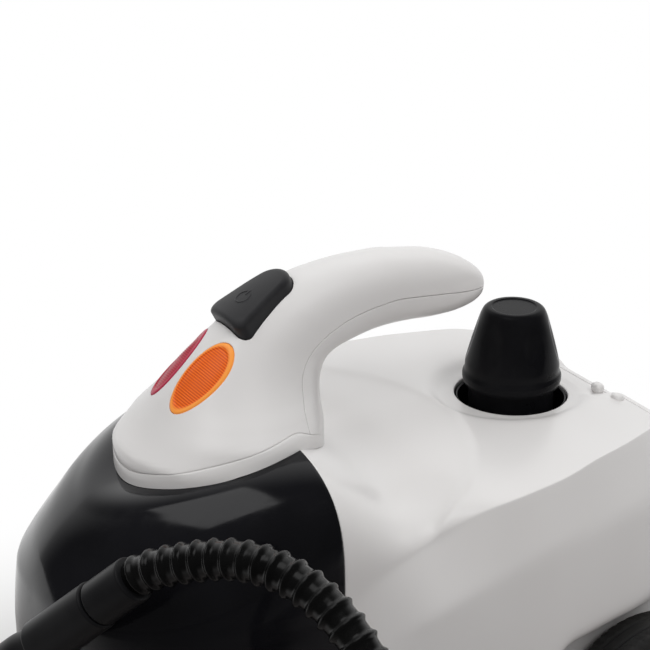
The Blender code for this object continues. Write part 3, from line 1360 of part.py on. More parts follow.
def rear_wheels():
    """Two wheels with hubcaps, each on a stub pin held by a bracket inside the shell."""
    centre = (0, WHEEL_Y, WHEEL_RADIUS)
    near, far = WHEEL_INNER_X, WHEEL_INNER_X + WHEEL_WIDTH
    floor = far - WHEEL_DISH_DEPTH
    wheel = [(WHEEL_RADIUS * r, near + WHEEL_WIDTH * w) for w, r in WHEEL_CROWN_SHARES]
    wheel += [(WHEEL_DISH_RADIUS + WHEEL_DISH_DEPTH / 2, far), (WHEEL_DISH_RADIUS, floor)]
    wheel += [(WHEEL_BORE, floor), (WHEEL_BORE, near)]
    inner = floor + GAP + PIN_HEAD_THICKNESS + GAP
    outer = inner + HUBCAP_THICKNESS
    hubcap = [(0, inner), (HUBCAP_RADIUS, inner), (HUBCAP_RADIUS, outer - HUBCAP_DOME)]
    hubcap += [(HUBCAP_RADIUS * r, outer - HUBCAP_DOME * drop) for r, drop in HUBCAP_SHARES] + [(0, outer)]
    inside = bracket_x() - BRACKET_THICKNESS
    head = floor + GAP
    end = head + PIN_HEAD_THICKNESS
    pin = [(0, inside), (PIN_RADIUS, inside), (PIN_RADIUS, head)]
    pin += [(PIN_HEAD, head), (PIN_HEAD, end), (0, end)]
    for side, word in ((1, "left"), (-1, "right")):
        lathe(f"rear_wheel_{word}", on_side(wheel, side), black_rubber(), centre, "X", FINE_ARCS)
        turned(f"hubcap_{word}", on_side(hubcap, side), white(), centre, "X", ROUND_ARCS)
        turned(f"axle_pin_{word}", on_side(pin, side), steel(), centre, "X", SMALL_ARCS)


def caster():
    """Swivel fork, wheel and pin under the nose."""
    top = BASE_Z - GAP - TRAY_THICKNESS - GAP
    wheel_y = CASTER_Y + CASTER_TRAIL
    inner = CASTER_WIDTH / 2 + CASTER_SIDE_GAP
    high = top - CASTER_PLATE / 2
    fork = rod("caster_fork", CASTER_PLATE_RADIUS, (0, CASTER_Y, top - CASTER_PLATE), (0, CASTER_Y, top),
               black_satin(), FINE_ARCS)
    stem = rod("fork_stem", CASTER_STEM, (0, CASTER_Y, high), (0, CASTER_Y, top + CASTER_STEM_LENGTH),
               black_satin())
    cut(fork, stem, "UNION")
    low = CASTER_RADIUS - CASTER_PIN * CASTER_CHEEK_FOOT_SHARE
    cheek_y = wheel_y - CASTER_TRAIL * CASTER_CHEEK_SHIFT_SHARE
    for side in (1, -1):
        x = side * (inner + CASTER_CHEEK / 2)
        cheek = block("fork_cheek", (x, cheek_y, (low + high) / 2),
                      (CASTER_CHEEK / 2, CASTER_PLATE_RADIUS * CASTER_CHEEK_SHARE, (high - low) / 2),
                      black_satin())
        cut(fork, cheek, "UNION")
    hole = rod("fork_hole", CASTER_PIN + CASTER_PIN_CLEARANCE, (-inner * 2, wheel_y, CASTER_RADIUS),
               (inner * 2, wheel_y, CASTER_RADIUS), black_satin(), SMALL_ARCS)
    cut(fork, hole)
    half = CASTER_WIDTH / 2
    bore = CASTER_PIN + CASTER_PIN_CLEARANCE
    edge, tread = CASTER_RADIUS * CASTER_EDGE_SHARE, half * CASTER_TREAD_SHARE
    profile = ((bore, -half), (edge, -half), (CASTER_RADIUS, -tread), (CASTER_RADIUS, tread), (edge, half),
               (bore, half))
    lathe("caster_wheel", profile, black_rubber(), (0, wheel_y, CASTER_RADIUS), "X", ROUND_ARCS)
    reach = inner + CASTER_CHEEK
    rod("caster_pin", CASTER_PIN, (-reach, wheel_y, CASTER_RADIUS), (reach, wheel_y, CASTER_RADIUS), steel(),
        SMALL_ARCS)


# The steam gun


def gun_axes():
    """Corner, direction along the handle and direction square to it, in the X-Z plane."""
    along = Vector((math.cos(GUN_HANDLE_SLOPE), 0, -math.sin(GUN_HANDLE_SLOPE)))
    square = Vector((math.sin(GUN_HANDLE_SLOPE), 0, math.cos(GUN_HANDLE_SLOPE)))
    corner = Vector((GUN_X, 0, GUN_TOP_Z - GUN_BARREL_HALF))
    return corner, along, square


def handle_end():
    """Middle of the gun's handle end."""
    corner, along, _ = gun_axes()
    return corner + along * GUN_HANDLE_LENGTH


def gun_outline(inset):
    """Outline of the parked gun: barrel down, handle to the side."""
    corner, along, square = gun_axes()
    half, slim = GUN_BARREL_HALF - inset, GUN_HANDLE_HALF * GUN_SLIM_SHARE - inset
    thick = GUN_HANDLE_HALF - inset
    bottom = corner.z - GUN_BARREL_LENGTH + inset
    end = handle_end()
    top_end, low_end = end + square * thick, end - square * thick
    mid = corner + along * (GUN_HANDLE_LENGTH / 2)
    back, front = corner.x - half, corner.x + half
    throat = corner + along * (GUN_BARREL_HALF * GUN_THROAT_SHARE) - square * slim
    points = [(back, bottom), (front, bottom), (front, throat.z - GUN_CORNER)]
    for k in range(1, GUN_THROAT_POINTS + 1):
        a = math.pi / 2 * k / GUN_THROAT_POINTS
        x = front + (throat.x - front) * (1 - math.cos(a))
        z = throat.z - GUN_CORNER + GUN_CORNER * math.sin(a)
        points.append((x, z))
    points.append(((mid - square * slim).x, (mid - square * slim).z))
    points.append((low_end.x, low_end.z))
    points.append((top_end.x, top_end.z))
    points.append(((mid + square * slim).x, (mid + square * slim).z))
    head = corner + square * thick
    points.append((head.x + GUN_CORNER / 2, head.z))
    for k in range(1, GUN_HEAD_POINTS + 1):
        a = math.pi / 2 * k / GUN_HEAD_POINTS
        points.append((back + GUN_CORNER * (1 - math.sin(a)), head.z - GUN_CORNER * (1 - math.cos(a))))
    return points


def gun_half(name, outward, inset, overrun):
    """One half of the gun's form, rounded towards its flat side, or with an inset its pocket."""
    edge, deep = GAP / 2 - overrun, GUN_HALF_THICKNESS - inset
    step = GUN_ROUND * GUN_ROUND_SHARE
    levels = ((edge, 0.0), (deep - GUN_ROUND, 0.0), (deep - step, step), (deep, GUN_ROUND))
    points = []
    for reach, more in levels:
        points += [(x, GUN_Y + outward * reach, z) for x, z in gun_outline(inset + more)]
    count = len(points) // len(levels)
    faces = grid_faces(len(levels), count, closed=True)
    faces.append(tuple(range(count)))
    faces.append(tuple(range(len(points) - count, len(points))))
    return solid(name, points, faces, white())


def gun():
    """Two handle shells with the pipe between them, nozzle, trigger, lock and the parking holster."""
    corner, along, _ = gun_axes()
    end = handle_end()
    start = Vector((end.x, GUN_Y, end.z))
    bottom = corner.z - GUN_BARREL_LENGTH
    for name, outward in (("gun_shell_front", -1), ("gun_shell_back", 1)):
        shell = gun_half(name, outward, 0.0, 0.0)
        cut(shell, gun_half("gun_pocket", outward, GUN_WALL, OVERRUN))
        cut(shell, trigger_solid("trigger_slot", TRIGGER_CLEARANCE, white(), True))
        low, high = start - along * GUN_CORNER, start + along * OVERRUN
        cut(shell, rod("pipe_way", PIPE_RADIUS + 2 * GAP, low, high, white(), SMALL_ARCS))
        low, high = (GUN_X, GUN_Y, bottom - OVERRUN), (GUN_X, GUN_Y, bottom + GUN_CORNER)
        cut(shell, rod("nozzle_way", NOZZLE_RADIUS * NOZZLE_TIP_SHARE + GAP, low, high, white(), SMALL_ARCS))
    gun_inside()
    trigger_solid("gun_trigger", 0.0, black_satin(), False)
    holster()


def trigger_frame():
    """Pivot of the trigger and its two directions in the X-Z plane."""
    corner, along, square = gun_axes()
    below = GUN_HANDLE_HALF * GUN_SLIM_SHARE - TRIGGER_PIVOT_IN
    pivot = corner + along * (GUN_BARREL_HALF * TRIGGER_PIVOT_SHARE) - square * below
    return pivot, along, square


def trigger_solid(name, grow, look, swept):
    """The trigger, or with room for its sweep the slot that it moves in."""
    pivot, along, square = trigger_frame()
    out, thick, long = TRIGGER_OUT, TRIGGER_THICKNESS, TRIGGER_LENGTH
    rise = thick if swept else 0.0
    more = grow + (TRIGGER_SWEEP_ROOM if swept else 0.0)
    (first, second), (high, low), quarter = TRIGGER_BEND_SHARES, TRIGGER_SWEEP_SHARES, thick / 2 / 2
    back = -out + thick + more + rise * high
    outline = [(-more - thick / 2, -thick / 2 - more), (long * first, -out - grow)]
    outline += [(long * second, -out - grow - quarter), (long + more, -out + quarter - grow)]
    outline += [(long + more, back), (long * TRIGGER_BACK_SHARE, back)]
    outline += [(thick, thick / 2 + more + rise * low), (-more - thick / 2, thick / 2 + more)]

    def place(a, b, h):
        return (pivot + along * a + square * b + Vector((0, h, 0)))[:]

    half = TRIGGER_HALF_WIDTH + grow
    return prism(name, outline, GUN_Y - half, GUN_Y + half, look, place)


def gun_inside():
    """The steam pipe in the gun, the nozzle and the lock slide."""
    corner, along, square = gun_axes()
    end = handle_end()
    y = Vector((0, GUN_Y, 0))
    clear = square * (GUN_HANDLE_HALF * GUN_PIPE_SHARE)
    start = end + y - along * GAP
    bottom = corner.z - GUN_BARREL_LENGTH
    points = [start, start - along * GUN_CORNER, start - along * GUN_CORNER * 2 + clear, corner + y + clear,
              Vector((GUN_X, GUN_Y, bottom + GUN_CORNER))]
    pipe("gun_pipe", points, steel())
    tip = NOZZLE_RADIUS * NOZZLE_TIP_SHARE
    low = bottom - NOZZLE_LENGTH
    collar_z = bottom - NOZZLE_LENGTH * NOZZLE_COLLAR_SHARE
    top = bottom + GUN_CORNER - GAP
    profile = ((NOZZLE_BORE, low), (tip, low), (NOZZLE_RADIUS, collar_z), (NOZZLE_RADIUS, bottom - GAP),
               (tip, bottom - GAP), (tip, top), (NOZZLE_BORE, top))
    lathe("gun_nozzle", profile, black_satin(), (GUN_X, GUN_Y, 0), arcs=SMALL_ARCS)
    spot = corner + along * (GUN_HANDLE_LENGTH * LOCK_SHARE) + square * (GUN_HANDLE_HALF * GUN_SLIM_SHARE
                                                                         + LOCK_HALF[2] * 2)
    outline = [(-LOCK_HALF[0], -LOCK_HALF[2]), (LOCK_HALF[0], -LOCK_HALF[2]), (LOCK_HALF[0], LOCK_HALF[2]),
               (-LOCK_HALF[0], LOCK_HALF[2])]

    def place(a, b, h):
        return (spot + along * a + square * b + Vector((0, h, 0)))[:]

    prism("trigger_lock", outline, GUN_Y - LOCK_HALF[1], GUN_Y + LOCK_HALF[1], black_satin(), place)


def holster():
    """A cup on the rear cover that takes the gun's barrel."""
    half_x = GUN_BARREL_HALF + HOLSTER_CLEARANCE + HOLSTER_WALL
    near = REAR_Y + GAP + REAR_BULGE + GAP
    low, high = HOLSTER_Z - HOLSTER_FLOOR, HOLSTER_Z + HOLSTER_HEIGHT
    made = block("gun_holster", (GUN_X, (near + GUN_Y) / 2, (low + high) / 2),
                 (half_x, (GUN_Y - near) / 2, (high - low) / 2), black_satin())
    room = block("holster_room", (GUN_X, GUN_Y, (low + high) / 2),
                 (GUN_BARREL_HALF + HOLSTER_CLEARANCE, GUN_HALF_THICKNESS + HOLSTER_CLEARANCE,
                  (high - low) / 2 + OVERRUN), black_satin())
    cut(made, room)


# The hose


def coil_place(degrees, rear_half, height):
    """A place of the coil at a turn angle; its two half circles are set apart by the straights."""
    a = math.radians(degrees)
    turned_by = math.radians(degrees - COIL_START_DEGREES)
    radius = COIL_START_RADIUS + COIL_PITCH * turned_by / (2 * math.pi)
    shift = COIL_HALF_STRAIGHT if rear_half else -COIL_HALF_STRAIGHT
    return (COIL_CENTRE[0] + radius * math.cos(a), COIL_CENTRE[1] + shift + radius * math.sin(a), height)


def hose_points():
    """The route's points in three stretches: falling to the floor, coiled, and rising to the gun."""
    floor = HOSE_RADIUS
    start = Vector(FRONT_ROUTE[0])
    lead = (start - elbow_corner()).normalized() * HOSE_RADIUS * HOSE_LEAD_SHARE
    front = [tuple(start), tuple(start + lead), *FRONT_ROUTE[1:]]
    for degrees in range(COIL_START_DEGREES, 1, COIL_STEP_DEGREES):
        fall = max(0.0, 1 - (degrees - COIL_START_DEGREES) / COIL_RAMP_DEGREES)
        front.append(coil_place(degrees, False, floor + COIL_RAMP * fall**2))
    coil = []
    for first, last, rear_half in COIL_STRETCHES:
        coil.append((coil_place(first, rear_half, floor)[0], COIL_CENTRE[1], floor))
        coil += [coil_place(d, rear_half, floor) for d in range(first, last + 1, COIL_STEP_DEGREES)]
    join, last = coil[0], coil[-1]
    leave = (last[0] - COIL_HALF_STRAIGHT, last[1], floor)
    coil.append(leave)
    end = handle_end()
    _, along, _ = gun_axes()
    seat = Vector((end.x, GUN_Y, end.z)) + along * (END_CUFF_LENGTH + 3 * GAP)
    rear = [leave, (leave[0] - COIL_HALF_STRAIGHT, last[1], floor), *REAR_ROUTE]
    rear += [tuple(seat + along * HOSE_RADIUS * 2), tuple(seat + along * HOSE_RADIUS), tuple(seat)]
    return front + [join], coil, rear


def ribbed(name, line):
    """A ribbed tube with its bore cut out along a line of fine points."""
    s = np.concatenate([[0.0], np.cumsum(np.linalg.norm(np.diff(line, axis=0), axis=1))])
    half_ribs = 2 * int(round(s[-1] / RIB_PITCH))
    places = np.linspace(0, s[-1], half_ribs + 1)
    points = np.array([[np.interp(at, s, line[:, k]) for k in range(3)] for at in places])
    radii = [HOSE_RADIUS if k % 2 else HOSE_RADIUS * HOSE_ROOT_SHARE for k in range(half_ribs + 1)]
    made = tube(name, points, radii, black_rubber(), 2)
    count = max(3, int(round(s[-1] / BORE_STEP)))
    steps = np.linspace(0, s[-1], count + 1)
    bore = np.stack([np.interp(steps, s, line[:, k]) for k in range(3)], axis=1)
    bore[0] += (bore[0] - bore[1]) / np.linalg.norm(bore[0] - bore[1]) * OVERRUN
    bore[-1] += (bore[-1] - bore[-2]) / np.linalg.norm(bore[-1] - bore[-2]) * OVERRUN
    return made, tube(name + "_bore", bore, HOSE_BORE_RADIUS, black_rubber(), 1)


def to_mesh(thing):
    """Turns a curve object into a mesh object, so that a Boolean can work on it."""
    depsgraph = bpy.context.evaluated_depsgraph_get()
    mesh = bpy.data.meshes.new_from_object(thing.evaluated_get(depsgraph))
    name, look = thing.name, thing.data.materials[0]
    bpy.data.objects.remove(thing, do_unlink=True)
    mesh.materials.clear()
    made = link(name, mesh, look)
    work = bmesh.new()
    work.from_mesh(mesh)
    bmesh.ops.remove_doubles(work, verts=work.verts, dist=WELD)
    bmesh.ops.recalc_face_normals(work, faces=work.faces)
    work.to_mesh(mesh)
    work.free()
    return made


def least_gap(line):
    """The least distance between a tube's own walls, at places further apart than its bends."""
    thin = line[::3]
    s = np.concatenate([[0.0], np.cumsum(np.linalg.norm(np.diff(thin, axis=0), axis=1))])
    apart = np.linalg.norm(thin[:, None] - thin[None], axis=2)
    apart[np.abs(s[:, None] - s[None]) < HOSE_RADIUS * HOSE_APART_SHARE] = np.inf
    return apart.min() - 2 * HOSE_RADIUS


def elbow_corner():
    """Where the elbow's two straight axes meet, in front of the socket."""
    return Vector((0, SOCKET_FRONT_Y - GAP - ELBOW_BEND * ELBOW_REACH_SHARE, SOCKET_Z))


def sleeve(name, radius, origin, along, low, high):
    """A bored sleeve on a straight line, between two distances from its origin."""
    made = rod(name, radius, origin + along * low, origin + along * high, black_satin(), CUFF_ARCS)
    start, end = origin + along * (low - OVERRUN), origin + along * (high + OVERRUN)
    room = rod(name + "_bore", HOSE_BORE_RADIUS, start, end, black_satin(), SMALL_ARCS)
    return cut(made, room)


def hose():
    """The plug in the socket, the cuffs, the three hose stretches and the cuff at the gun."""
    start = Vector(FRONT_ROUTE[0])
    corner = elbow_corner()
    along = (start - corner).normalized()
    reach = (start - corner).length
    tangent = ELBOW_BEND * ELBOW_TANGENT_SHARE
    into = Vector((0, -1, 0))
    face = SOCKET_FRONT_Y - GAP
    line = [Vector((0, face, SOCKET_Z)), corner - into * tangent]
    for k in range(1, ELBOW_POINTS):
        t = k / ELBOW_POINTS
        a, b = corner - into * tangent, corner + along * tangent
        line.append(a * (1 - t) ** 2 + corner * 2 * t * (1 - t) + b * t * t)
    line += [corner + along * tangent, corner + along * (SLEEVE_START - GAP)]
    line = [line[0]] + [p for p in line[1:] if (p - line[0]).length > GAP * 3]
    elbow = to_mesh(tube("hose_elbow", line, ELBOW_RADIUS, black_satin(), 3))
    deep = SOCKET_FRONT_Y + ELBOW_STUB_LENGTH
    stub = rod("elbow_stub", ELBOW_STUB, (0, face - ELBOW_STUB / 2, SOCKET_Z), (0, deep, SOCKET_Z),
               black_satin())
    cut(elbow, stub, "UNION")
    inner_line = [Vector((0, deep + OVERRUN, SOCKET_Z))] + line[1:] + [line[-1] + along * OVERRUN]
    bore = tube("elbow_bore", inner_line, ELBOW_BORE, black_satin(), 2)
    cut(elbow, to_mesh(bore))
    sleeve("hose_sleeve", SLEEVE_RADIUS, corner, along, SLEEVE_START, CUFF_START - GAP)
    sleeve("hose_cuff", CUFF_RADIUS, corner, along, CUFF_START, reach - 2 * GAP)
    front, coil, rear = hose_points()
    whole = spline(front[:-1] + coil[:-1] + rear, RIB_PITCH / HOSE_STEPS_PER_RIB)
    marks = [0]
    for spot in (coil[0], coil[-1]):
        marks.append(int(np.argmin(np.linalg.norm(whole - np.array(spot), axis=1))))
    marks.append(len(whole) - 1)
    lengths = []
    for k, name in enumerate(("hose_front", "hose_coil", "hose_rear")):
        part = whole[marks[k]:marks[k + 1] + 1].copy()
        if k:
            part[0] += (part[1] - part[0]) / np.linalg.norm(part[1] - part[0]) * GAP
        lengths.append(float(np.linalg.norm(np.diff(part, axis=0), axis=1).sum()))
        made, bored = ribbed(name, part)
        made, bored = to_mesh(made), to_mesh(bored)
        cut(made, bored)
    bend = np.gradient(whole, axis=0)
    turn = np.gradient(bend, axis=0)
    curvature = np.linalg.norm(np.cross(bend, turn), axis=1) / np.linalg.norm(bend, axis=1) ** 3
    stretches = [round(v, PRINT_DIGITS) for v in lengths]
    print("hose length", round(sum(lengths), PRINT_DIGITS), "stretches", stretches)
    inner = curvature[HOSE_STEPS_PER_RIB:-HOSE_STEPS_PER_RIB]
    print("hose least gap to itself", round(least_gap(whole), PRINT_DIGITS), "tightest bend radius",
          round(float(1 / inner.max()), PRINT_DIGITS))
    end = handle_end()
    _, axis, _ = gun_axes()
    sleeve("gun_cuff", CUFF_RADIUS, Vector((end.x, GUN_Y, end.z)), axis, GAP, GAP + END_CUFF_LENGTH)


def small_parts():
    """Mains gland and terminal block."""
    near = REAR_Y + GAP + REAR_BULGE + GAP
    inside, step, end = near - GLAND_LENGTH / 2, near + GLAND_FLANGE_THICKNESS, near + GLAND_LENGTH
    lip = GLAND_BORE + GLAND_RADIUS / 3
    profile = ((GLAND_BORE, inside), (GLAND_RADIUS, inside), (GLAND_RADIUS, near), (GLAND_FLANGE, near),
               (GLAND_FLANGE, step), (GLAND_RADIUS, step), (lip, end), (GLAND_BORE, end))
    lathe("mains_gland", profile, black_rubber(), (GLAND_X, 0, GLAND_Z), "Y", SMALL_ARCS)
    block("terminal_block", (*TERMINAL_XY, BASE_Z + TERMINAL_HALF[2]), TERMINAL_HALF, grey_plastic(),
          TERMINAL_EDGE)


def print_axes():
    """Writes out where the moving pieces turn and slide."""
    spot, tangent, normal = patch_place(BUTTON_SHARE, 0.0, 0.0, 0.0)
    pivot, along, square = trigger_frame()
    words = {"button place": spot, "button inward": -normal, "button tangent": tangent,
             "trigger pivot": pivot, "handle of the gun, along": along, "square to it": square,
             "hose start": Vector(FRONT_ROUTE[0]),
             "hose elbow corner": elbow_corner(), "gun handle end": handle_end()}
    for word, value in words.items():
        print(word, [round(v, PRINT_DIGITS) for v in value])


def build():
    """Makes every piece, one after the other."""
    clear_scene()
    tree = outer_surface()
    main_shell()
    front_cover()
    rear_cover()
    handle(tree)
    safety_cap()
    filler()
    boiler()
    steam_line()
    tray()
    rear_wheels()
    caster()
    gun()
    small_parts()
    hose()
    print_axes()


build()
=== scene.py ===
"""Looks of a canister steam cleaner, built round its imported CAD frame.

Every new piece is a surface worked out with numpy on a grid of two parameters, in metres, +Z up and the
nose towards -Y, in the same frame as the CAD. Sizes repeat the ones that the CAD was made from.
"""

import json
import logging
import math
from dataclasses import dataclass
from enum import Enum, IntEnum
from functools import cache, partial
from typing import Callable, Optional, Sequence

import bmesh
import bpy
import numpy as np
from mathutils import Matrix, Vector


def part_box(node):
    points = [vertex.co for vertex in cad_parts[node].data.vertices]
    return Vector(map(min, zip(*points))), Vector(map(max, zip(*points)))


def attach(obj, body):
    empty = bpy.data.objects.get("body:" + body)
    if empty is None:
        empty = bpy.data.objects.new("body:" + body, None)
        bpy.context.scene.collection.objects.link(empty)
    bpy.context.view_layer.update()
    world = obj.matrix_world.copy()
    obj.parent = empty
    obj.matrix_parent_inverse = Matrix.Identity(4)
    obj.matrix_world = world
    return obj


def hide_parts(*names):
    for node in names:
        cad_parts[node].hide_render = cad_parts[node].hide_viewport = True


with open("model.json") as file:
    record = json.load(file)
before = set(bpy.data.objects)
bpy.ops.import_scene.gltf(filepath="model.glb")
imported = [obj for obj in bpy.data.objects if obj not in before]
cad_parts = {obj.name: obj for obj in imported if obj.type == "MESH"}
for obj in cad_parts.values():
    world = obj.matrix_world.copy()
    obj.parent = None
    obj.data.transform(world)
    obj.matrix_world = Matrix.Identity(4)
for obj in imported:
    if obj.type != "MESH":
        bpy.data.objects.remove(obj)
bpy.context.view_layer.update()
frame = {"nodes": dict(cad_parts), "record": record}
LOG = logging.getLogger("steam_cleaner")

Array = np.ndarray
Colour = tuple[float, float, float]


class Body(Enum):
    """Names of the CAD bodies that pieces ride on."""

    MACHINE = "machine"
    BUTTON = "button"
    CAP = "cap"
    WHEEL_LEFT = "wheel_left"
    WHEEL_RIGHT = "wheel_right"


class Slot(Enum):
    """The record's material slots."""

    WHITE = "white_shell"
    GLOSS = "black_gloss"
    SATIN = "black_satin"
    RUBBER = "black_rubber"
    STEEL = "steel"
    BRASS = "brass"
    ALUMINIUM = "aluminium"
    GREY = "grey_plastic"
    RED = "red_lens"
    AMBER = "amber_lens"


# Shader groups and finishes


NUMBER, COLOUR = "NodeSocketFloat", "NodeSocketColor"
GRAIN_LOW, GRAIN_HIGH = 0.3, 0.7


def wire(tree: bpy.types.NodeTree, *pairs: tuple) -> None:
    """Links (output socket, input socket) pairs."""
    for start, end in pairs:
        tree.links.new(start, end)


def add_nodes(tree: bpy.types.NodeTree, *kinds: str) -> list[bpy.types.Node]:
    """New nodes, by the last word of their types."""
    return [tree.nodes.new(f"ShaderNode{kind}") for kind in kinds]


def fill(inputs: bpy.types.bpy_prop_collection, **values) -> None:
    """Sets sockets by their names, written with _ for a space; a colour has three numbers."""
    for name, value in values.items():
        socket = inputs[name.replace("_", " ")]
        socket.default_value = (*value, 1.0) if socket.type == "RGBA" else value


def open_group(name: str, given: dict, results: dict) -> tuple:
    """Starts a node group.

    Args:
        name: the group's name.
        given: the inputs' names, each with a number's default or None for a colour.
        results: the outputs' names and kinds.

    Returns:
        The group, the sockets of its inputs and those of its outputs.
    """
    tree = bpy.data.node_groups.new(name, "ShaderNodeTree")
    for socket, value in given.items():
        made = tree.interface.new_socket(name=socket, in_out="INPUT", socket_type=COLOUR if value is None else NUMBER)
        if value is not None:
            made.default_value = value
    for socket, kind in results.items():
        tree.interface.new_socket(name=socket, in_out="OUTPUT", socket_type=kind)
    start, end = tree.nodes.new("NodeGroupInput"), tree.nodes.new("NodeGroupOutput")
    return tree, start.outputs, end.inputs


def maths(tree: bpy.types.NodeTree, operation: str, *given) -> bpy.types.NodeSocket:
    """One Math node on sockets or numbers, by its result."""
    node, = add_nodes(tree, "Math")
    node.operation = operation
    for place, value in zip(node.inputs, given):
        if isinstance(value, bpy.types.NodeSocket):
            tree.links.new(value, place)
        else:
            place.default_value = value
    return node.outputs["Value"]


class Effect:
    """Shader node groups that several finishes share, each built once."""

    @staticmethod
    @cache
    def grain() -> bpy.types.NodeTree:
        """Moulded surface: fine noise over a broad wave.

        Returns:
            A group that puts out a height for a Bump node and a mask for roughness and tone.
        """
        tree, given, put = open_group("grain", {"Fine Scale": 900.0, "Broad Scale": 30.0, "Detail": 3.0},
                                      {"Height": NUMBER, "Mask": NUMBER})
        place, fine, broad = add_nodes(tree, "TexCoord", "TexNoise", "TexNoise")
        wire(tree, (place.outputs["Object"], fine.inputs["Vector"]), (place.outputs["Object"], broad.inputs["Vector"]),
             (given["Fine Scale"], fine.inputs["Scale"]), (given["Broad Scale"], broad.inputs["Scale"]),
             (given["Detail"], broad.inputs["Detail"]), (fine.outputs["Fac"], put["Height"]),
             (broad.outputs["Fac"], put["Mask"]))
        return tree

    @staticmethod
    @cache
    def tone() -> bpy.types.NodeTree:
        """Two colours mixed by a mask that is first stretched between two levels.

        Returns:
            A group with the inputs Low, High, Mask, From and To, and the output Colour.
        """
        tree, given, put = open_group("tone", {"Low": None, "High": None, "Mask": 0.5, "From": GRAIN_LOW,
                                               "To": GRAIN_HIGH}, {"Colour": COLOUR})
        ramp, mix = add_nodes(tree, "MapRange", "Mix")
        mix.data_type = "RGBA"
        wire(tree, (given["Mask"], ramp.inputs["Value"]), (given["From"], ramp.inputs["From Min"]),
             (given["To"], ramp.inputs["From Max"]), (ramp.outputs["Result"], mix.inputs["Factor"]),
             (given["Low"], mix.inputs["A"]), (given["High"], mix.inputs["B"]), (mix.outputs["Result"], put["Colour"]))
        return tree

    @staticmethod
    @cache
    def scuffs() -> bpy.types.NodeTree:
        """Fine wiping marks: noise drawn out along one direction.

        Returns:
            A group with the input Scale and a mask as its output.
        """
        tree, given, put = open_group("scuffs", {"Scale": 60.0}, {"Mask": NUMBER})
        place, turn, noise, ramp = add_nodes(tree, "TexCoord", "Mapping", "TexNoise", "MapRange")
        fill(turn.inputs, Rotation=(0.5, 0.3, 0.9), Scale=(1.0, 0.12, 1.0))
        fill(noise.inputs, Detail=6.0, Roughness=0.7)
        fill(ramp.inputs, From_Min=0.45, From_Max=0.75)
        wire(tree, (place.outputs["Object"], turn.inputs["Vector"]), (turn.outputs["Vector"], noise.inputs["Vector"]),
             (given["Scale"], noise.inputs["Scale"]), (noise.outputs["Fac"], ramp.inputs["Value"]),
             (ramp.outputs["Result"], put["Mask"]))
        return tree


def new_material(name: str) -> tuple:
    """A new material, its node tree and its Principled shader's inputs."""
    made = bpy.data.materials.new(name)
    made.use_nodes = True
    return made, made.node_tree, made.node_tree.nodes["Principled BSDF"].inputs


def tone_node(tree: bpy.types.NodeTree, low: Optional[Colour], high: Colour, start: float = GRAIN_LOW,
              end: float = GRAIN_HIGH) -> bpy.types.Node:
    """A node of the tone group with its colours and levels; low is None where a link gives it."""
    node, = add_nodes(tree, "Group")
    node.node_tree = Effect.tone()
    fill(node.inputs, High=high, From=start, To=end)
    if low is not None:
        fill(node.inputs, Low=low)
    return node


@dataclass(frozen=True)
class Finish:
    """One finish: its colours, gloss and moulded grain.

    low and high are the two colours that the broad grain mixes, rough the two roughnesses, fine and broad
    the scales of the grain, depth the height of the fine grain in metres and scuff how far wiping marks
    raise the roughness.
    """

    name: str
    low: Colour
    high: Colour
    rough: tuple[float, float]
    metallic: float = 0.0
    coat: float = 0.0
    coat_rough: float = 0.1
    fine: float = 900.0
    broad: float = 30.0
    depth: float = 0.00002
    strength: float = 0.15
    scuff: float = 0.0
    specular: float = 0.5

    @cache
    def build(self) -> bpy.types.Material:
        """Makes the material, once."""
        made, tree, shader = new_material(self.name)
        grain, rough, bump = add_nodes(tree, "Group", "MapRange", "Bump")
        grain.node_tree, tone = Effect.grain(), tone_node(tree, self.low, self.high)
        fill(grain.inputs, Fine_Scale=self.fine, Broad_Scale=self.broad)
        fill(rough.inputs, From_Min=GRAIN_LOW, From_Max=GRAIN_HIGH, To_Min=self.rough[0], To_Max=self.rough[1])
        fill(bump.inputs, Distance=self.depth, Strength=self.strength)
        wire(tree, (grain.outputs["Mask"], tone.inputs["Mask"]), (tone.outputs["Colour"], shader["Base Color"]),
             (grain.outputs["Mask"], rough.inputs["Value"]), (grain.outputs["Height"], bump.inputs["Height"]),
             (bump.outputs["Normal"], shader["Normal"]))
        last = rough.outputs["Result"]
        if self.scuff:
            marks, = add_nodes(tree, "Group")
            marks.node_tree = Effect.scuffs()
            last = maths(tree, "MULTIPLY_ADD", marks.outputs["Mask"], self.scuff, last)
        wire(tree, (last, shader["Roughness"]))
        fill(shader, Metallic=self.metallic, Coat_Weight=self.coat, Coat_Roughness=self.coat_rough,
             Specular_IOR_Level=self.specular)
        return made


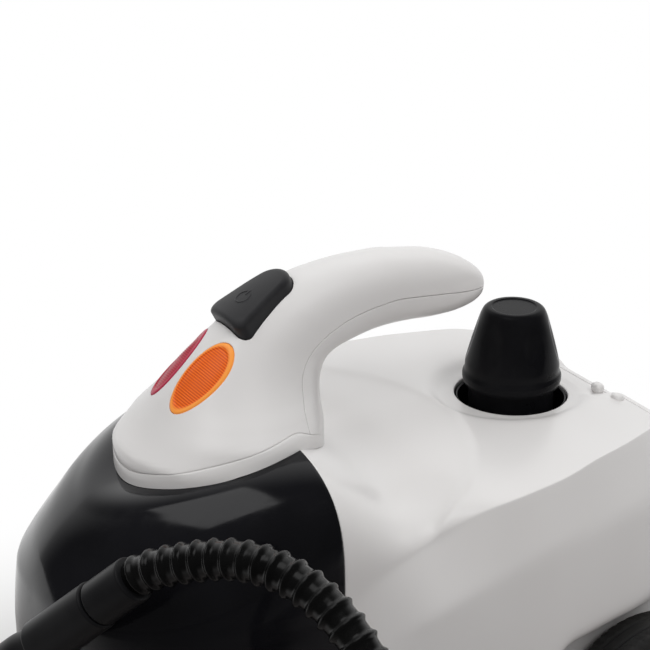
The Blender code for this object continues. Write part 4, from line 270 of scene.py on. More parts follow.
@dataclass(frozen=True)
class LensFinish:
    """Clear coloured plastic with a paler rim. Its tone swings between deep and pale along the ribs, a painted
    reflection of a ribbed reflector behind it, and its colour also gives a faint painted glow.

    The piece's UV map holds the distance from the middle, 0 to 1, and the place along the lens.
    """

    name: str
    deep: Colour
    pale: Colour
    rim: Colour
    ribs: float = 34.0
    edge: tuple[float, float] = (0.84, 0.93)

    @cache
    def build(self) -> bpy.types.Material:
        """Makes the material, once."""
        made, tree, shader = new_material(self.name)
        place, split = add_nodes(tree, "UVMap", "SeparateXYZ")
        place.uv_map = "lens"
        # painted reflection: deep and pale stripes along the ribs stand in for light off a ribbed reflector
        wave = maths(tree, "SINE", maths(tree, "MULTIPLY", split.outputs["Y"], self.ribs * 2 * math.pi))
        tone, edge = tone_node(tree, self.deep, self.pale, -1.0, 1.0), tone_node(tree, None, self.rim, *self.edge)
        wire(tree, (place.outputs["UV"], split.inputs["Vector"]), (wave, tone.inputs["Mask"]),
             (tone.outputs["Colour"], edge.inputs["Low"]), (split.outputs["X"], edge.inputs["Mask"]),
             (edge.outputs["Colour"], shader["Base Color"]), (edge.outputs["Colour"], shader["Emission Color"]))
        # painted glow: the lens colour is also emitted faintly, though no lamp lights the lens
        fill(shader, Emission_Strength=0.12, Roughness=0.42, Specular_IOR_Level=0.25, Coat_Weight=0.20,
             Coat_Roughness=0.05)
        return made


WHITE_SHELL = Finish("white_shell_look", (0.755, 0.738, 0.728), (0.785, 0.772, 0.764), (0.30, 0.36), coat=0.25,
                     coat_rough=0.16, fine=1400.0, broad=9.0, depth=0.00001, strength=0.12)
BLACK_GLOSS = Finish("black_gloss_look", (0.004, 0.004, 0.005), (0.008, 0.008, 0.010), (0.07, 0.12), fine=700.0,
                     broad=22.0, depth=0.00001, strength=0.05, scuff=0.20, specular=0.42)
BLACK_SATIN = Finish("black_satin_look", (0.006, 0.006, 0.007), (0.010, 0.010, 0.011), (0.34, 0.44), fine=2600.0,
                     broad=45.0, depth=0.00004, strength=0.30, specular=0.18)
BUTTON_TOP = Finish("button_look", (0.020, 0.020, 0.022), (0.030, 0.030, 0.032), (0.44, 0.54), fine=3200.0,
                    broad=60.0, depth=0.00005, strength=0.45, specular=0.35)
CAP_BLACK = Finish("cap_black_look", (0.005, 0.005, 0.006), (0.009, 0.009, 0.010), (0.26, 0.34), fine=2600.0,
                   broad=45.0, depth=0.00003, strength=0.22, specular=0.07)
WELL_BLACK = Finish("well_black_look", (0.003, 0.003, 0.004), (0.006, 0.006, 0.007), (0.22, 0.30), fine=1500.0,
                    broad=40.0, depth=0.00002, strength=0.15, specular=0.10)
BLACK_RUBBER = Finish("black_rubber_look", (0.002, 0.002, 0.002), (0.004, 0.004, 0.004), (0.20, 0.28), fine=1500.0,
                      broad=60.0, depth=0.00004, strength=0.25, specular=0.30)
TYRE_RUBBER = Finish("tyre_rubber_look", (0.015, 0.015, 0.015), (0.030, 0.029, 0.028), (0.62, 0.75), fine=1500.0,
                     broad=40.0, depth=0.00008, strength=0.5)
GREY_PLASTIC = Finish("grey_plastic_look", (0.055, 0.055, 0.058), (0.070, 0.070, 0.073), (0.45, 0.55), fine=1800.0,
                      broad=35.0, depth=0.00006, strength=0.4)
STEEL = Finish("steel_look", (0.55, 0.55, 0.57), (0.66, 0.66, 0.68), (0.22, 0.34), metallic=1.0, fine=1200.0,
               broad=50.0, depth=0.00002, strength=0.2)
BRASS = Finish("brass_look", (0.68, 0.47, 0.18), (0.78, 0.58, 0.26), (0.24, 0.36), metallic=1.0, fine=1200.0,
               broad=50.0, depth=0.00002, strength=0.2)
ALUMINIUM = Finish("aluminium_look", (0.66, 0.67, 0.68), (0.78, 0.79, 0.80), (0.34, 0.46), metallic=1.0, fine=800.0,
                   broad=30.0, depth=0.00003, strength=0.3)
# lens colours: deep and pale make the painted reflection stripes, then the rim; all of them also feed the painted glow
AMBER = LensFinish("amber_lens_look", (0.58, 0.060, 0.004), (0.84, 0.165, 0.010), (0.95, 0.34, 0.06))
RED = LensFinish("red_lens_look", (0.33, 0.010, 0.030), (0.44, 0.022, 0.048), (0.42, 0.03, 0.07))

NODE_FINISHES = {
    Slot.WHITE.value: WHITE_SHELL, Slot.GLOSS.value: BLACK_GLOSS, Slot.SATIN.value: BLACK_SATIN,
    Slot.RUBBER.value: BLACK_RUBBER, Slot.STEEL.value: STEEL, Slot.BRASS.value: BRASS,
    Slot.ALUMINIUM.value: ALUMINIUM, Slot.GREY.value: GREY_PLASTIC, Slot.RED.value: BLACK_SATIN,
    Slot.AMBER.value: BLACK_SATIN,
}


# Surfaces


def smooth_table(x: Sequence[float], y: Sequence[float], at: Array) -> Array:
    """Monotone cubic reading of a table.

    Between two rows the value is the cubic Hermite polynomial whose tangents are the weighted harmonic mean
    of the neighbouring slopes, and zero where the slopes change sign.

    Args:
        x: the table's places, rising.
        y: its values.
        at: where to read it.

    Returns:
        The values at those places, held constant beyond the table's ends.
    """
    x, y = np.asarray(x, float), np.asarray(y, float)
    h = np.diff(x)
    slope = np.diff(y) / h
    tangent = np.zeros(len(x))
    before, after = slope[:-1], slope[1:]
    w1, w2 = 2 * h[1:] + h[:-1], h[1:] + 2 * h[:-1]
    same = before * after > 0
    safe_before, safe_after = np.where(same, before, 1.0), np.where(same, after, 1.0)
    tangent[1:-1] = np.where(same, (w1 + w2) / (w1 / safe_before + w2 / safe_after), 0.0)
    tangent[0], tangent[-1] = slope[0], slope[-1]
    at = np.clip(at, x[0], x[-1])
    k = np.clip(np.searchsorted(x, at, side="right") - 1, 0, len(x) - 2)
    t = (at - x[k]) / h[k]
    return ((2 * t**3 - 3 * t**2 + 1) * y[k] + (t**3 - 2 * t**2 + t) * h[k] * tangent[k]
            + (3 * t**2 - 2 * t**3) * y[k + 1] + (t**3 - t**2) * h[k] * tangent[k + 1])


def ease(t: Array) -> Array:
    """Smooth step from 0 to 1."""
    t = np.clip(t, 0.0, 1.0)
    return t * t * (3 - 2 * t)


def signed_power(v: Array, power: float) -> Array:
    """|v| to a power, with v's sign."""
    return np.sign(v) * np.abs(v) ** power


def unit(v: Array) -> Array:
    """Vectors of length 1 along the last axis."""
    return v / np.maximum(np.linalg.norm(v, axis=-1, keepdims=True), 1e-12)


def normals(grid: Array, closed: bool = False) -> Array:
    """Normals of a grid of points: the cross product of its two central differences."""
    if closed:
        wide = np.concatenate([grid[:, -1:], grid, grid[:, :1]], axis=1)
        along = np.gradient(wide, axis=1)[:, 1:-1]
    else:
        along = np.gradient(grid, axis=1)
    return unit(np.cross(np.gradient(grid, axis=0), along))


def quads(rows: int, columns: int, closed: bool = False) -> Array:
    """Faces of a grid stored row by row; closed joins the last column to the first."""
    r, c = np.meshgrid(np.arange(rows - 1), np.arange(columns if closed else columns - 1), indexing="ij")
    d = (c + 1) % columns
    return np.stack([r * columns + c, r * columns + d, (r + 1) * columns + d, (r + 1) * columns + c],
                    axis=-1).reshape(-1, 4)


WELD = 2e-6
STEP = 1e-5
LEAST_SLOPE = 0.05
RIM_DEGREES = (30.0, 60.0, 90.0)


def make_mesh(points: Array, faces: Sequence, sharp: float = 40.0, weld: bool = False) -> bpy.types.Mesh:
    """A smooth mesh whose faces point outwards.

    Args:
        points: its vertices.
        faces: quads and caps, as index lists.
        sharp: the angle in degrees over which an edge stays sharp.
        weld: merges the points that coincide.

    Returns:
        The mesh.
    """
    mesh = bpy.data.meshes.new("piece")
    mesh.from_pydata(np.asarray(points, float).tolist(), [], [list(map(int, f)) for f in faces])
    mesh.validate()
    if weld:
        work = bmesh.new()
        work.from_mesh(mesh)
        bmesh.ops.remove_doubles(work, verts=work.verts, dist=WELD)
        work.to_mesh(mesh)
        work.free()
    if volume_of(mesh) < 0:
        mesh.flip_normals()
    mesh.shade_smooth()
    mesh.set_sharp_from_angle(angle=math.radians(sharp))
    return mesh


def volume_of(mesh: bpy.types.Mesh) -> float:
    """Signed volume inside a closed mesh: the sum of its triangles' tetrahedra to the origin."""
    mesh.calc_loop_triangles()
    co = np.empty(len(mesh.vertices) * 3)
    mesh.vertices.foreach_get("co", co)
    tri = np.empty(len(mesh.loop_triangles) * 3, np.int32)
    mesh.loop_triangles.foreach_get("vertices", tri)
    a, b, c = (co.reshape(-1, 3)[tri.reshape(-1, 3)[:, k]] for k in range(3))
    return float(np.einsum("ij,ij->i", a, np.cross(b, c)).sum() / 6)


def capped_mesh(grid: Array, sharp: float = 40.0) -> bpy.types.Mesh:
    """A closed mesh of rings of points, with its first and last ring filled."""
    rows, wide = grid.shape[:2]
    count = rows * wide
    ends = [list(range(wide)), list(range(count - wide, count))]
    return make_mesh(grid.reshape(-1, 3), list(quads(rows, wide, True)) + ends, sharp)


def ring_mesh(grid: Array, sharp: float = 40.0) -> bpy.types.Mesh:
    """A closed mesh of rings of points, the last joined to the first."""
    rows, wide = grid.shape[:2]
    return make_mesh(grid.reshape(-1, 3), quads(rows + 1, wide, True) % (rows * wide), sharp)


def add_object(name: str, data: bpy.types.ID) -> bpy.types.Object:
    """A new object in the scene."""
    made = bpy.data.objects.new(name, data)
    bpy.context.scene.collection.objects.link(made)
    return made


def place_piece(name: str, mesh: bpy.types.Mesh, slot: Slot, finish, replaced: Sequence[str] = (),
                body: Body = Body.MACHINE) -> bpy.types.Object:
    """Links a mesh as a piece that rides on a body, with its finish, and hides the CAD nodes it stands for."""
    mesh.name = name
    made = add_object(name, mesh)
    mesh.materials.clear()
    mesh.materials.append(finish.build())
    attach(made, body.value)
    if replaced:
        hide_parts(*replaced)
    LOG.info("%s: %d faces on %s", name, len(mesh.polygons), body.value)
    return made


def band(edges: Array, near: Array, far: Array) -> Array:
    """Faces between border edges and their copies; near and far tell each point's number in either."""
    start, end = edges.T
    return np.stack([near[end], near[start], far[start], far[end]], axis=1)


@dataclass
class Walled:
    """A sheet with a wall and rounded rims, from a grid of its outer points.

    The rim of every border and hole is a quarter circle of radius lip, then runs straight to the inner face. With
    tip the last row is one point, where the sheet closes.
    """

    grid: Array
    wall: float | Array
    lip: float = 0.0005
    closed: bool = False
    tip: bool = False
    facing: float = 1.0

    def __post_init__(self) -> None:
        """Keeps every cell; the outward directions are known only where a cut is made."""
        self.grid = np.ascontiguousarray(self.grid)
        self.cells = quads(*self.grid.shape[:2], self.closed)
        self.keep = np.ones(len(self.cells), bool)
        self.outward = np.zeros_like(self.grid)

    def cut(self, distance: Callable[[Array], Array]) -> None:
        """Takes away the cells inside an outline and moves the nearest points exactly onto it.

        Args:
            distance: signed distance of points to the outline, negative inside.
        """
        flat, outward = self.grid.reshape(-1, 3), self.outward.reshape(-1, 3)
        inside = distance(flat[self.cells].mean(axis=1)) < 0
        self.keep &= ~inside
        touched = np.intersect1d(self.cells[inside], self.cells[self.keep])
        p, n = flat[touched], normals(self.grid, self.closed).reshape(-1, 3)[touched]
        slope = np.stack([(distance(p + STEP * axis) - distance(p - STEP * axis)) / (2 * STEP)
                          for axis in np.eye(3)], axis=-1)
        slope -= n * np.sum(slope * n, axis=-1, keepdims=True)
        size = np.maximum(np.sum(slope**2, axis=-1, keepdims=True), LEAST_SLOPE)
        flat[touched] = p - slope / size * distance(p)[:, None]
        outward[touched] = -unit(slope)

    def _border_directions(self) -> None:
        """Fills in the outward direction of the grid's own borders."""
        g, o = self.grid, self.outward
        jobs = [((0, slice(None)), g[0] - g[1]), ((-1, slice(None)), g[-1] - g[-2])]
        if not self.closed:
            jobs += [((slice(None), 0), g[:, 0] - g[:, 1]), ((slice(None), -1), g[:, -1] - g[:, -2])]
        for where, step in jobs:
            blank = np.linalg.norm(o[where], axis=-1) < 0.5
            values = o[where]
            values[blank] = unit(step)[blank]
            o[where] = values

    def mesh(self) -> bpy.types.Mesh:
        """The closed mesh: the inner face is the outer one moved back by the wall along its normals.

        Its border edges are the sides of kept cells that no other kept cell has the other way round.
        """
        rows, columns = self.grid.shape[:2]
        count = rows * columns
        self._border_directions()
        n = normals(self.grid, self.closed) * self.facing
        kept = self.cells[self.keep]
        edges = np.stack([kept, np.roll(kept, -1, axis=1)], axis=-1).reshape(-1, 2)
        edges = edges[~np.isin(edges @ (count, 1), edges @ (1, count))]
        if self.tip:
            n[-1] = unit(n[-2].mean(axis=0))
            edges = edges[~np.all(edges >= (rows - 1) * columns, axis=1)]
        border = np.unique(edges)
        flat, around, up = (a.reshape(-1, 3).copy() for a in (self.grid, self.outward, n))
        inner = flat - up * np.broadcast_to(np.asarray(self.wall), (rows, columns)).reshape(-1, 1)
        flat[border] -= around[border] * self.lip
        parts, faces, number = [flat], [kept], np.arange(count)
        for angle in RIM_DEGREES:
            a = math.radians(angle)
            parts.append(flat[border] + around[border] * self.lip * math.sin(a)
                         - up[border] * self.lip * (1 - math.cos(a)))
            following = np.zeros(rows * columns, int)
            following[border] = count + np.arange(len(border))
            faces.append(band(edges, number, following))
            number, count = following, count + len(border)
        parts.append(inner)
        faces += [band(edges, number, count + np.arange(rows * columns)), kept[:, ::-1] + count]
        points, every = np.concatenate(parts), np.concatenate(faces)
        used = np.unique(every)
        fresh = np.zeros(len(points), int)
        fresh[used] = np.arange(len(used))
        return make_mesh(points[used], fresh[every], 50.0, self.tip)


def lathe_mesh(profile: Array, centre: Sequence[float], axis: str = "Z", arcs: int = 96,
               shape: Optional[Callable[[Array, Array, Array], Array]] = None, sharp: float = 40.0
               ) -> bpy.types.Mesh:
    """Turns a profile of (radius, height) rows round an axis.

    A point is centre + radius (cos a, sin a) across the axis + height along it. Where the profile starts on the
    axis both its ends are closed by a face, and otherwise its last row joins its first.

    Args:
        profile: the rows.
        centre: the axis's place.
        axis: X or Z.
        arcs: how many steps go round.
        shape: changes the radii, from radius, height and angle.
        sharp: the angle in degrees over which an edge stays sharp.

    Returns:
        The closed mesh.
    """
    profile = np.asarray(profile, float)
    full = profile[0, 0] < 1e-9
    rows = profile[1:-1] if full else profile
    angle = np.linspace(0, 2 * math.pi, arcs, endpoint=False)
    radius, height, turn = np.broadcast_arrays(rows[:, :1], rows[:, 1:2], angle[None])
    if shape:
        radius = shape(radius, height, turn)
    across, up = radius * np.cos(turn), radius * np.sin(turn)
    grid = np.stack((across, up, height) if axis == "Z" else (height, across, up), axis=-1) + np.array(centre)
    return capped_mesh(grid, sharp) if full else ring_mesh(grid, sharp)


def quadratic(start: Array, corner: Array, end: Array, t: Array) -> Array:
    """The quadratic curve (1 - t)^2 start + 2 t (1 - t) corner + t^2 end."""
    return (1 - t) ** 2 * start + 2 * t * (1 - t) * corner + t**2 * end


def rounded(profile: Sequence[Sequence[float]], radius: float) -> Array:
    """Rounds the corners of an open outline.

    Each corner is replaced by a quadratic curve whose ends lie on the two sides, at most radius from the corner.

    Args:
        profile: the outline's points.
        radius: how far from each corner its rounding starts.

    Returns:
        The rounded outline.
    """
    p = np.asarray(profile, float)
    made = [p[:1]]
    t = np.linspace(0, 1, 5)[:, None]
    for before, corner, after in zip(p, p[1:], p[2:]):
        into, out = before - corner, after - corner
        near = min(radius, 0.48 * np.linalg.norm(into), 0.48 * np.linalg.norm(out))
        made.append(quadratic(corner + unit(into) * near, corner, corner + unit(out) * near, t))
    made.append(p[-1:])
    return np.concatenate(made)


def tube_mesh(line: Array, radii: Array, sides: int = 48, sharp: float = 50.0) -> bpy.types.Mesh:
    """A closed round tube along a line.

    Each ring's frame is the last one's turned by the least angle that follows the line.

    Args:
        line: the points along it.
        radii: the tube's radius at each.
        sides: points round it.
        sharp: the angle in degrees over which an edge stays sharp.

    Returns:
        The mesh.
    """
    along = unit(np.gradient(line, axis=0))
    side = np.zeros_like(line)
    side[0] = unit(np.cross(along[0], (0.0, 0.0, 1.0)))
    for k in range(1, len(line)):
        kept = side[k - 1] - along[k] * np.dot(side[k - 1], along[k])
        side[k] = kept / np.linalg.norm(kept)
    other = np.cross(along, side)
    angle = np.linspace(0, 2 * math.pi, sides, endpoint=False)[None, :, None]
    grid = line[:, None] + radii[:, None, None] * (side[:, None] * np.cos(angle) + other[:, None] * np.sin(angle))
    return capped_mesh(grid, sharp)


def travelled(line: Array) -> Array:
    """Distance along a line at each of its points."""
    return np.concatenate([[0.0], np.cumsum(np.linalg.norm(np.diff(line, axis=0), axis=1))])


def spline(points: Sequence[Sequence[float]], step: float) -> Array:
    """The natural cubic spline through points, by their distance along the polygon.

    Args:
        points: what the curve passes through.
        step: about how far its points lie apart.

    Returns:
        Points of the curve.
    """
    p = np.array(points, float)
    t = travelled(p)
    n, h = len(t), np.diff(t)
    matrix, right = np.zeros((n, n)), np.zeros((n, 3))
    matrix[0, 0] = matrix[-1, -1] = 1
    inner = np.arange(1, n - 1)
    matrix[inner, inner - 1], matrix[inner, inner], matrix[inner, inner + 1] = h[:-1], 2 * (h[:-1] + h[1:]), h[1:]
    right[1:-1] = 6 * ((p[2:] - p[1:-1]) / h[1:, None] - (p[1:-1] - p[:-2]) / h[:-1, None])
    bend = np.linalg.solve(matrix, right)
    s = np.linspace(0, t[-1], max(2, int(round(t[-1] / step))) + 1)
    i = np.clip(np.searchsorted(t, s, side="right") - 1, 0, n - 2)
    a, b, w = (t[i + 1] - s)[:, None], (s - t[i])[:, None], h[i][:, None]
    return (bend[i] * a**3 / (6 * w) + bend[i + 1] * b**3 / (6 * w)
            + (p[i] / w - bend[i] * w / 6) * a + (p[i + 1] / w - bend[i + 1] * w / 6) * b)


def spread_evenly(line: Array, count: int) -> Array:
    """The same line with its points at equal distances along it."""
    s = travelled(line)
    at = np.linspace(0, s[-1], count)
    return np.stack([np.interp(at, s, line[:, k]) for k in range(line.shape[1])], axis=1)


def spaced(*spans: tuple[float, float, int]) -> Array:
    """Places at equal steps over spans (from, to, count), each without its last place."""
    return np.concatenate([np.linspace(low, high, count, endpoint=False) for low, high, count in spans])


def softened(grid: Array, sigma: float, axis: int = 0) -> Array:
    """Rounds a dense line or grid by a moving Gaussian mean, its ends kept by point reflection.

    Args:
        grid: points, with their coordinates last.
        sigma: the width of the mean in steps.
        axis: the axis along which it moves.

    Returns:
        The softened points.
    """
    reach = int(3 * sigma) + 1
    weight = np.exp(-0.5 * (np.arange(-reach, reach + 1) / sigma) ** 2)
    weight /= weight.sum()
    g = np.moveaxis(grid, axis, 0)
    long = np.concatenate([2 * g[:1] - g[reach:0:-1], g, 2 * g[-1:] - g[-2:-reach - 2:-1]])
    made = sum(w * long[k:k + len(g)] for k, w in enumerate(weight))
    return np.moveaxis(made, 0, axis)


# The body


class Line(IntEnum):
    """Lines along the body, by their place s on each of its sections; the flank lies at 10."""

    CROWN = 0
    SHOULDER = 6
    HIP = 8
    TUCK = 11
    FOOT = 13


@dataclass
class BodyForm:
    """The machine's outer form: the white shell's sections and the front cover's rings."""

    seam_y: float = -0.051
    length: float = 0.192
    base_z: float = 0.036
    roof_z: float = 0.184
    shoulder: float = 0.100
    hip: float = 0.110
    hip_z: float = 0.157
    flank_z: float = 0.104
    tuck_z: float = 0.093
    cap_y: float = 0.096
    well: float = 0.0288
    nose_reach: float = 0.117
    nose_top: float = 0.204
    stations: tuple = (0.0, 0.083, 0.198, 0.365, 0.495, 0.573, 0.703, 0.844, 1.0)
    shoulder_x: tuple = (0.835, 0.87, 0.92, 1.0, 0.975, 0.95, 0.88, 0.80, 0.65)
    shoulder_z: tuple = (0.761, 0.832, 0.904, 0.985, 0.990, 0.993, 1.0, 1.0, 0.978)
    crown_z: tuple = (1.1087, 1.076, 1.041, 1.011, 1.005, 1.003, 1.003, 1.003, 0.983)
    roundness: tuple = (3.7, 2.9, 2.2, 2.0, 2.0, 2.0, 2.0, 2.0, 2.0)
    hip_x: tuple = (0.773, 0.85, 0.955, 1.0, 0.985, 0.965, 0.92, 0.87, 0.75)
    hip_zs: tuple = (0.70, 0.79, 0.888, 0.965, 0.992, 1.0, 1.0, 1.0, 0.987)
    flank_x: tuple = (0.773, 0.885, 0.985, 1.045, 1.035, 1.008, 0.955, 0.90, 0.745)
    tuck_x: tuple = (0.773, 0.885, 0.985, 1.045, 1.035, 0.775, 0.765, 0.755, 0.715)
    foot_x: tuple = (0.727, 0.83, 0.92, 0.975, 0.965, 0.765, 0.755, 0.745, 0.700)
    roof_degrees: tuple = (0, 12, 28, 44, 60, 75, 90)
    rings: tuple = (0, 1, 2, 3, 4, 5, 6, 8, 11, 12, 13)
    ring_reach: tuple = (0.0, 0.468, 0.688, 0.776, 0.866, 0.940, 0.979, 1.0, 1.0, 0.996, 0.974)
    ring_z: tuple = (1.0, 0.918, 0.899, 0.866, 0.821, 0.763, 0.689, 0.5585, 0.490, 0.304, 0.1765)
    sharp_nose: float = 1.71
    full_nose: float = 2.35
    full_z: float = 0.140
    sharp_z: float = 0.181
    wall: float = 0.0022
    shell_lip: float = 0.0007
    nose_lip: float = 0.0006
    crease: float = 1.1
    scoop_start: float = 0.053
    scoop_bend: float = 0.1667
    scoop_side: float = 0.078
    scoop_pull: float = 45.0
    scoop_depth: float = 0.120
    scoop_peak: float = 0.62
    scoop_hold: float = 0.75
    dish_radius: float = 0.0400
    dish_edge: float = 0.0065
    dish_depth: float = 0.0036
    dish_hold: float = 0.6
    dish_front: float = 0.90
    channel_half: float = 0.027
    channel_edge: float = 0.007
    channel_start: float = 0.012
    channel_depth: float = 0.0030
    axle_place: tuple = (0.112, 0.047, 0.0043)
    socket_place: tuple = (0.0, 0.095, 0.0169)
    gland_place: tuple = (0.040, 0.054, 0.0094)
    rear_bulge: float = 0.0075
    rear_gap: float = 0.0004
    lug_half: tuple = (0.0036, 0.0026, 0.0028)
    lug_power: float = 0.7
    lug_places: tuple = (("left", 0.0345), ("right", 0.0187))
    lug_line: tuple = (0.1368, 0.1810)
    rear_shares: tuple = ((0, 0.35, 0.7, 1), (1.0, 0.975, 0.90, 0.70), (0.0, 0.62, 0.93, 1.0))
    cloud_over: float = 0.165
    cloud_before: float = 0.02
    _cloud: Optional[Array] = None

    def places(self) -> Array:
        """The values of s down one side, close where the form turns."""
        return np.append(spaced((Line.CROWN, Line.SHOULDER, 56), (Line.SHOULDER, Line.HIP, 14),
                                (Line.HIP, Line.TUCK, 26), (Line.TUCK, Line.FOOT, 26)), float(Line.FOOT))

    def rows(self) -> Array:
        """Places along the body, closest round the filler and the wheel arch."""
        share = np.concatenate([spaced((0, 0.49, 46), (0.49, 0.93, 62)), np.linspace(0.93, 1.0, 8)])
        return self.seam_y + self.length * share

    def hollows(self, x: Array, y: Array) -> tuple[Array, Array]:
        """How far the roof is sunk by the scoop under the grip, the dish round the cap and the drain channel.

        The scoop lies between the seam and its edge, y = start - x^2 / bend - pull max(|x| - side, 0)^2. With u the
        share of that way, its depth grows by an ease up to the peak and falls off by 1 - ((u - peak) / (1 - peak))^2,
        times the way's length. The dish is an ease from an off-centre circle, and the channel one across and one
        along.

        Returns:
            The scoop's depth, and that of dish and channel.
        """
        edge = self.scoop_start - x * x / self.scoop_bend - self.scoop_pull * np.maximum(
            np.abs(x) - self.scoop_side, 0.0) ** 2
        way = np.maximum(edge - self.seam_y, 1e-6)
        u = np.clip((y - self.seam_y) / way, 0.0, 1.0)
        fall = np.maximum(u - self.scoop_peak, 0.0) / (1 - self.scoop_peak)
        scoop = self.scoop_depth * way * ease(u / self.scoop_peak) * (1 - fall**2)
        away = np.hypot(x, (y - self.cap_y) * np.where(y < self.cap_y, self.dish_front, 1.0))
        dish = self.dish_depth * ease((self.dish_radius - away) / self.dish_edge)
        channel = self.channel_depth * ease((self.channel_half - np.abs(x)) / self.channel_edge) * ease(
            (y - self.cap_y) / self.channel_start)
        return scoop, np.maximum(dish, channel)

    def half_lines(self, y: Array, s: Array) -> Array:
        """Sections at places y, for each s.

        On the roof (x, z - shoulder z) is the super-ellipse (a sin^p t, b cos^p t), with p = 2 / roundness. Below the
        shoulder the section is a polygon. Over a height h above the shoulder the scoop of depth d takes away
        d (1 - e^(-hold h / d)), so it runs out at the shoulder.

        Args:
            y: places along the body.
            s: places on the sections.

        Returns:
            x and z by row and column.
        """
        share = (y - self.seam_y) / self.length
        sx, sz, crown, power, hx, hz, fx, tx, bx = (
            smooth_table(self.stations, table, share)[:, None] * scale for table, scale in (
                (self.shoulder_x, self.shoulder), (self.shoulder_z, self.roof_z), (self.crown_z, self.roof_z),
                (self.roundness, 1.0), (self.hip_x, self.hip), (self.hip_zs, self.hip_z), (self.flank_x, self.hip),
                (self.tuck_x, self.hip), (self.foot_x, self.hip)))
        power = 2 / power
        turn = np.radians(np.interp(s, np.arange(Line.SHOULDER + 1), self.roof_degrees))[None]
        x = sx * np.sin(turn) ** power
        z = sz + (crown - sz) * np.maximum(np.cos(turn), 0.0) ** power
        scoop, dish = self.hollows(x, y[:, None])
        held = 1 - np.exp(-self.scoop_hold * (z - sz) / np.maximum(scoop, 1e-9))
        z -= scoop * held + dish * ease((Line.SHOULDER - s) / self.dish_hold)[None]
        ones = np.ones_like(sx)
        corner_x = np.concatenate([sx, (sx + hx) / 2, hx, (hx + fx) / 2, fx, tx, (tx + bx) / 2, bx], axis=1)
        corner_z = np.concatenate([sz, (sz + hz) / 2, hz, (hz + self.flank_z) / 2, self.flank_z * ones,
                                   self.tuck_z * ones, (self.tuck_z + self.base_z) / 2 * ones, self.base_z * ones],
                                  axis=1)
        k = np.clip(s.astype(int) - Line.SHOULDER, 0, Line.FOOT - Line.SHOULDER - 1)
        t = (s - Line.SHOULDER - k)[None]
        below = [c[:, k] * (1 - t) + c[:, k + 1] * t for c in (corner_x, corner_z)]
        low = (s >= Line.SHOULDER)[None]
        return np.stack([np.where(low, below[0], x), np.where(low, below[1], z)], axis=-1)

    def lines(self, y: Array) -> Array:
        """Whole softened sections, from one foot over the roof to the other, as points."""
        half = self.half_lines(y, self.places())
        mirrored = half[:, :0:-1] * np.array([-1.0, 1.0])
        full = softened(np.concatenate([mirrored, half], axis=1), self.crease, axis=1)
        return np.stack([full[..., 0], np.broadcast_to(y[:, None], full.shape[:2]), full[..., 1]], axis=-1)

    def shell_grid(self) -> Array:
        """The white shell's outer points."""
        return self.lines(self.rows())

    def nose_grid(self) -> Array:
        """The front cover's outer points, ring by ring, the first under the handle.

        Seen from above a ring is the super-ellipse (x cos^p a, reach sin^p a), and its height goes from the seam's to
        the front's by sin^2 a.
        """
        s = self.places()
        whole = self.lines(np.array([self.seam_y]))[0]
        side = whole[len(s) - 1:]
        used = s >= 0.5
        s, side = s[used, None], side[used]
        x, z = side[:, :1], side[:, 2:]
        reach = self.nose_reach * smooth_table(self.rings, self.ring_reach, s)
        front = self.nose_top * smooth_table(self.rings, self.ring_z, s)
        full = ease((self.sharp_z - z) / (self.sharp_z - self.full_z))
        power = 2 / (self.sharp_nose + (self.full_nose - self.sharp_nose) * full)
        a = np.linspace(0, math.pi, 97)[None]
        across = x * signed_power(np.cos(a), power)
        ahead = np.maximum(np.sin(a), 0.0) ** power
        return np.stack([across, self.seam_y - reach * ahead, z + (front - z) * np.sin(a) ** 2], axis=-1)

    def height(self, x: Array, y: Array) -> Array:
        """Height of the outer surface over places, as the mean of its nearest points by inverse square distance."""
        if self._cloud is None:
            both = np.concatenate([self.shell_grid().reshape(-1, 3), self.nose_grid().reshape(-1, 3)])
            self._cloud = both[(both[:, 2] > self.cloud_over) & (both[:, 1] < self.cloud_before)]
        away = (x[:, None] - self._cloud[None, :, 0]) ** 2 + (y[:, None] - self._cloud[None, :, 1]) ** 2
        near = np.argpartition(away, 5, axis=1)[:, :5]
        weight = 1 / (np.take_along_axis(away, near, 1) + 1e-10)
        return (self._cloud[near, 2] * weight).sum(1) / weight.sum(1)

    def build(self) -> None:
        """Makes the white shell, the front cover, the rear cover and the parking lugs."""
        shell = Walled(self.shell_grid(), self.wall, self.shell_lip)
        shell.facing = facing(shell.grid, (0.0, 0.04, 0.1))
        shell.cut(lambda p: np.where(p[..., 2] > self.hip_z, round_hole(p, 0, 1, (0.0, self.cap_y, self.well)), 1.0))
        shell.cut(lambda p: round_hole(p, 1, 2, self.axle_place))
        place_piece("body_shell", shell.mesh(), Slot.WHITE, WHITE_SHELL, ["main_shell"])
        nose = Walled(self.nose_grid(), self.wall, self.nose_lip)
        nose.facing = facing(nose.grid, (0.0, self.seam_y, 0.1))
        ahead = self.seam_y - self.nose_reach / 2
        nose.cut(lambda p: np.where(p[..., 1] < ahead, round_hole(p, 0, 2, self.socket_place), 1.0))
        place_piece("nose_cover", nose.mesh(), Slot.GLOSS, BLACK_GLOSS, ["front_cover"])
        self._rear()
        self._lugs()

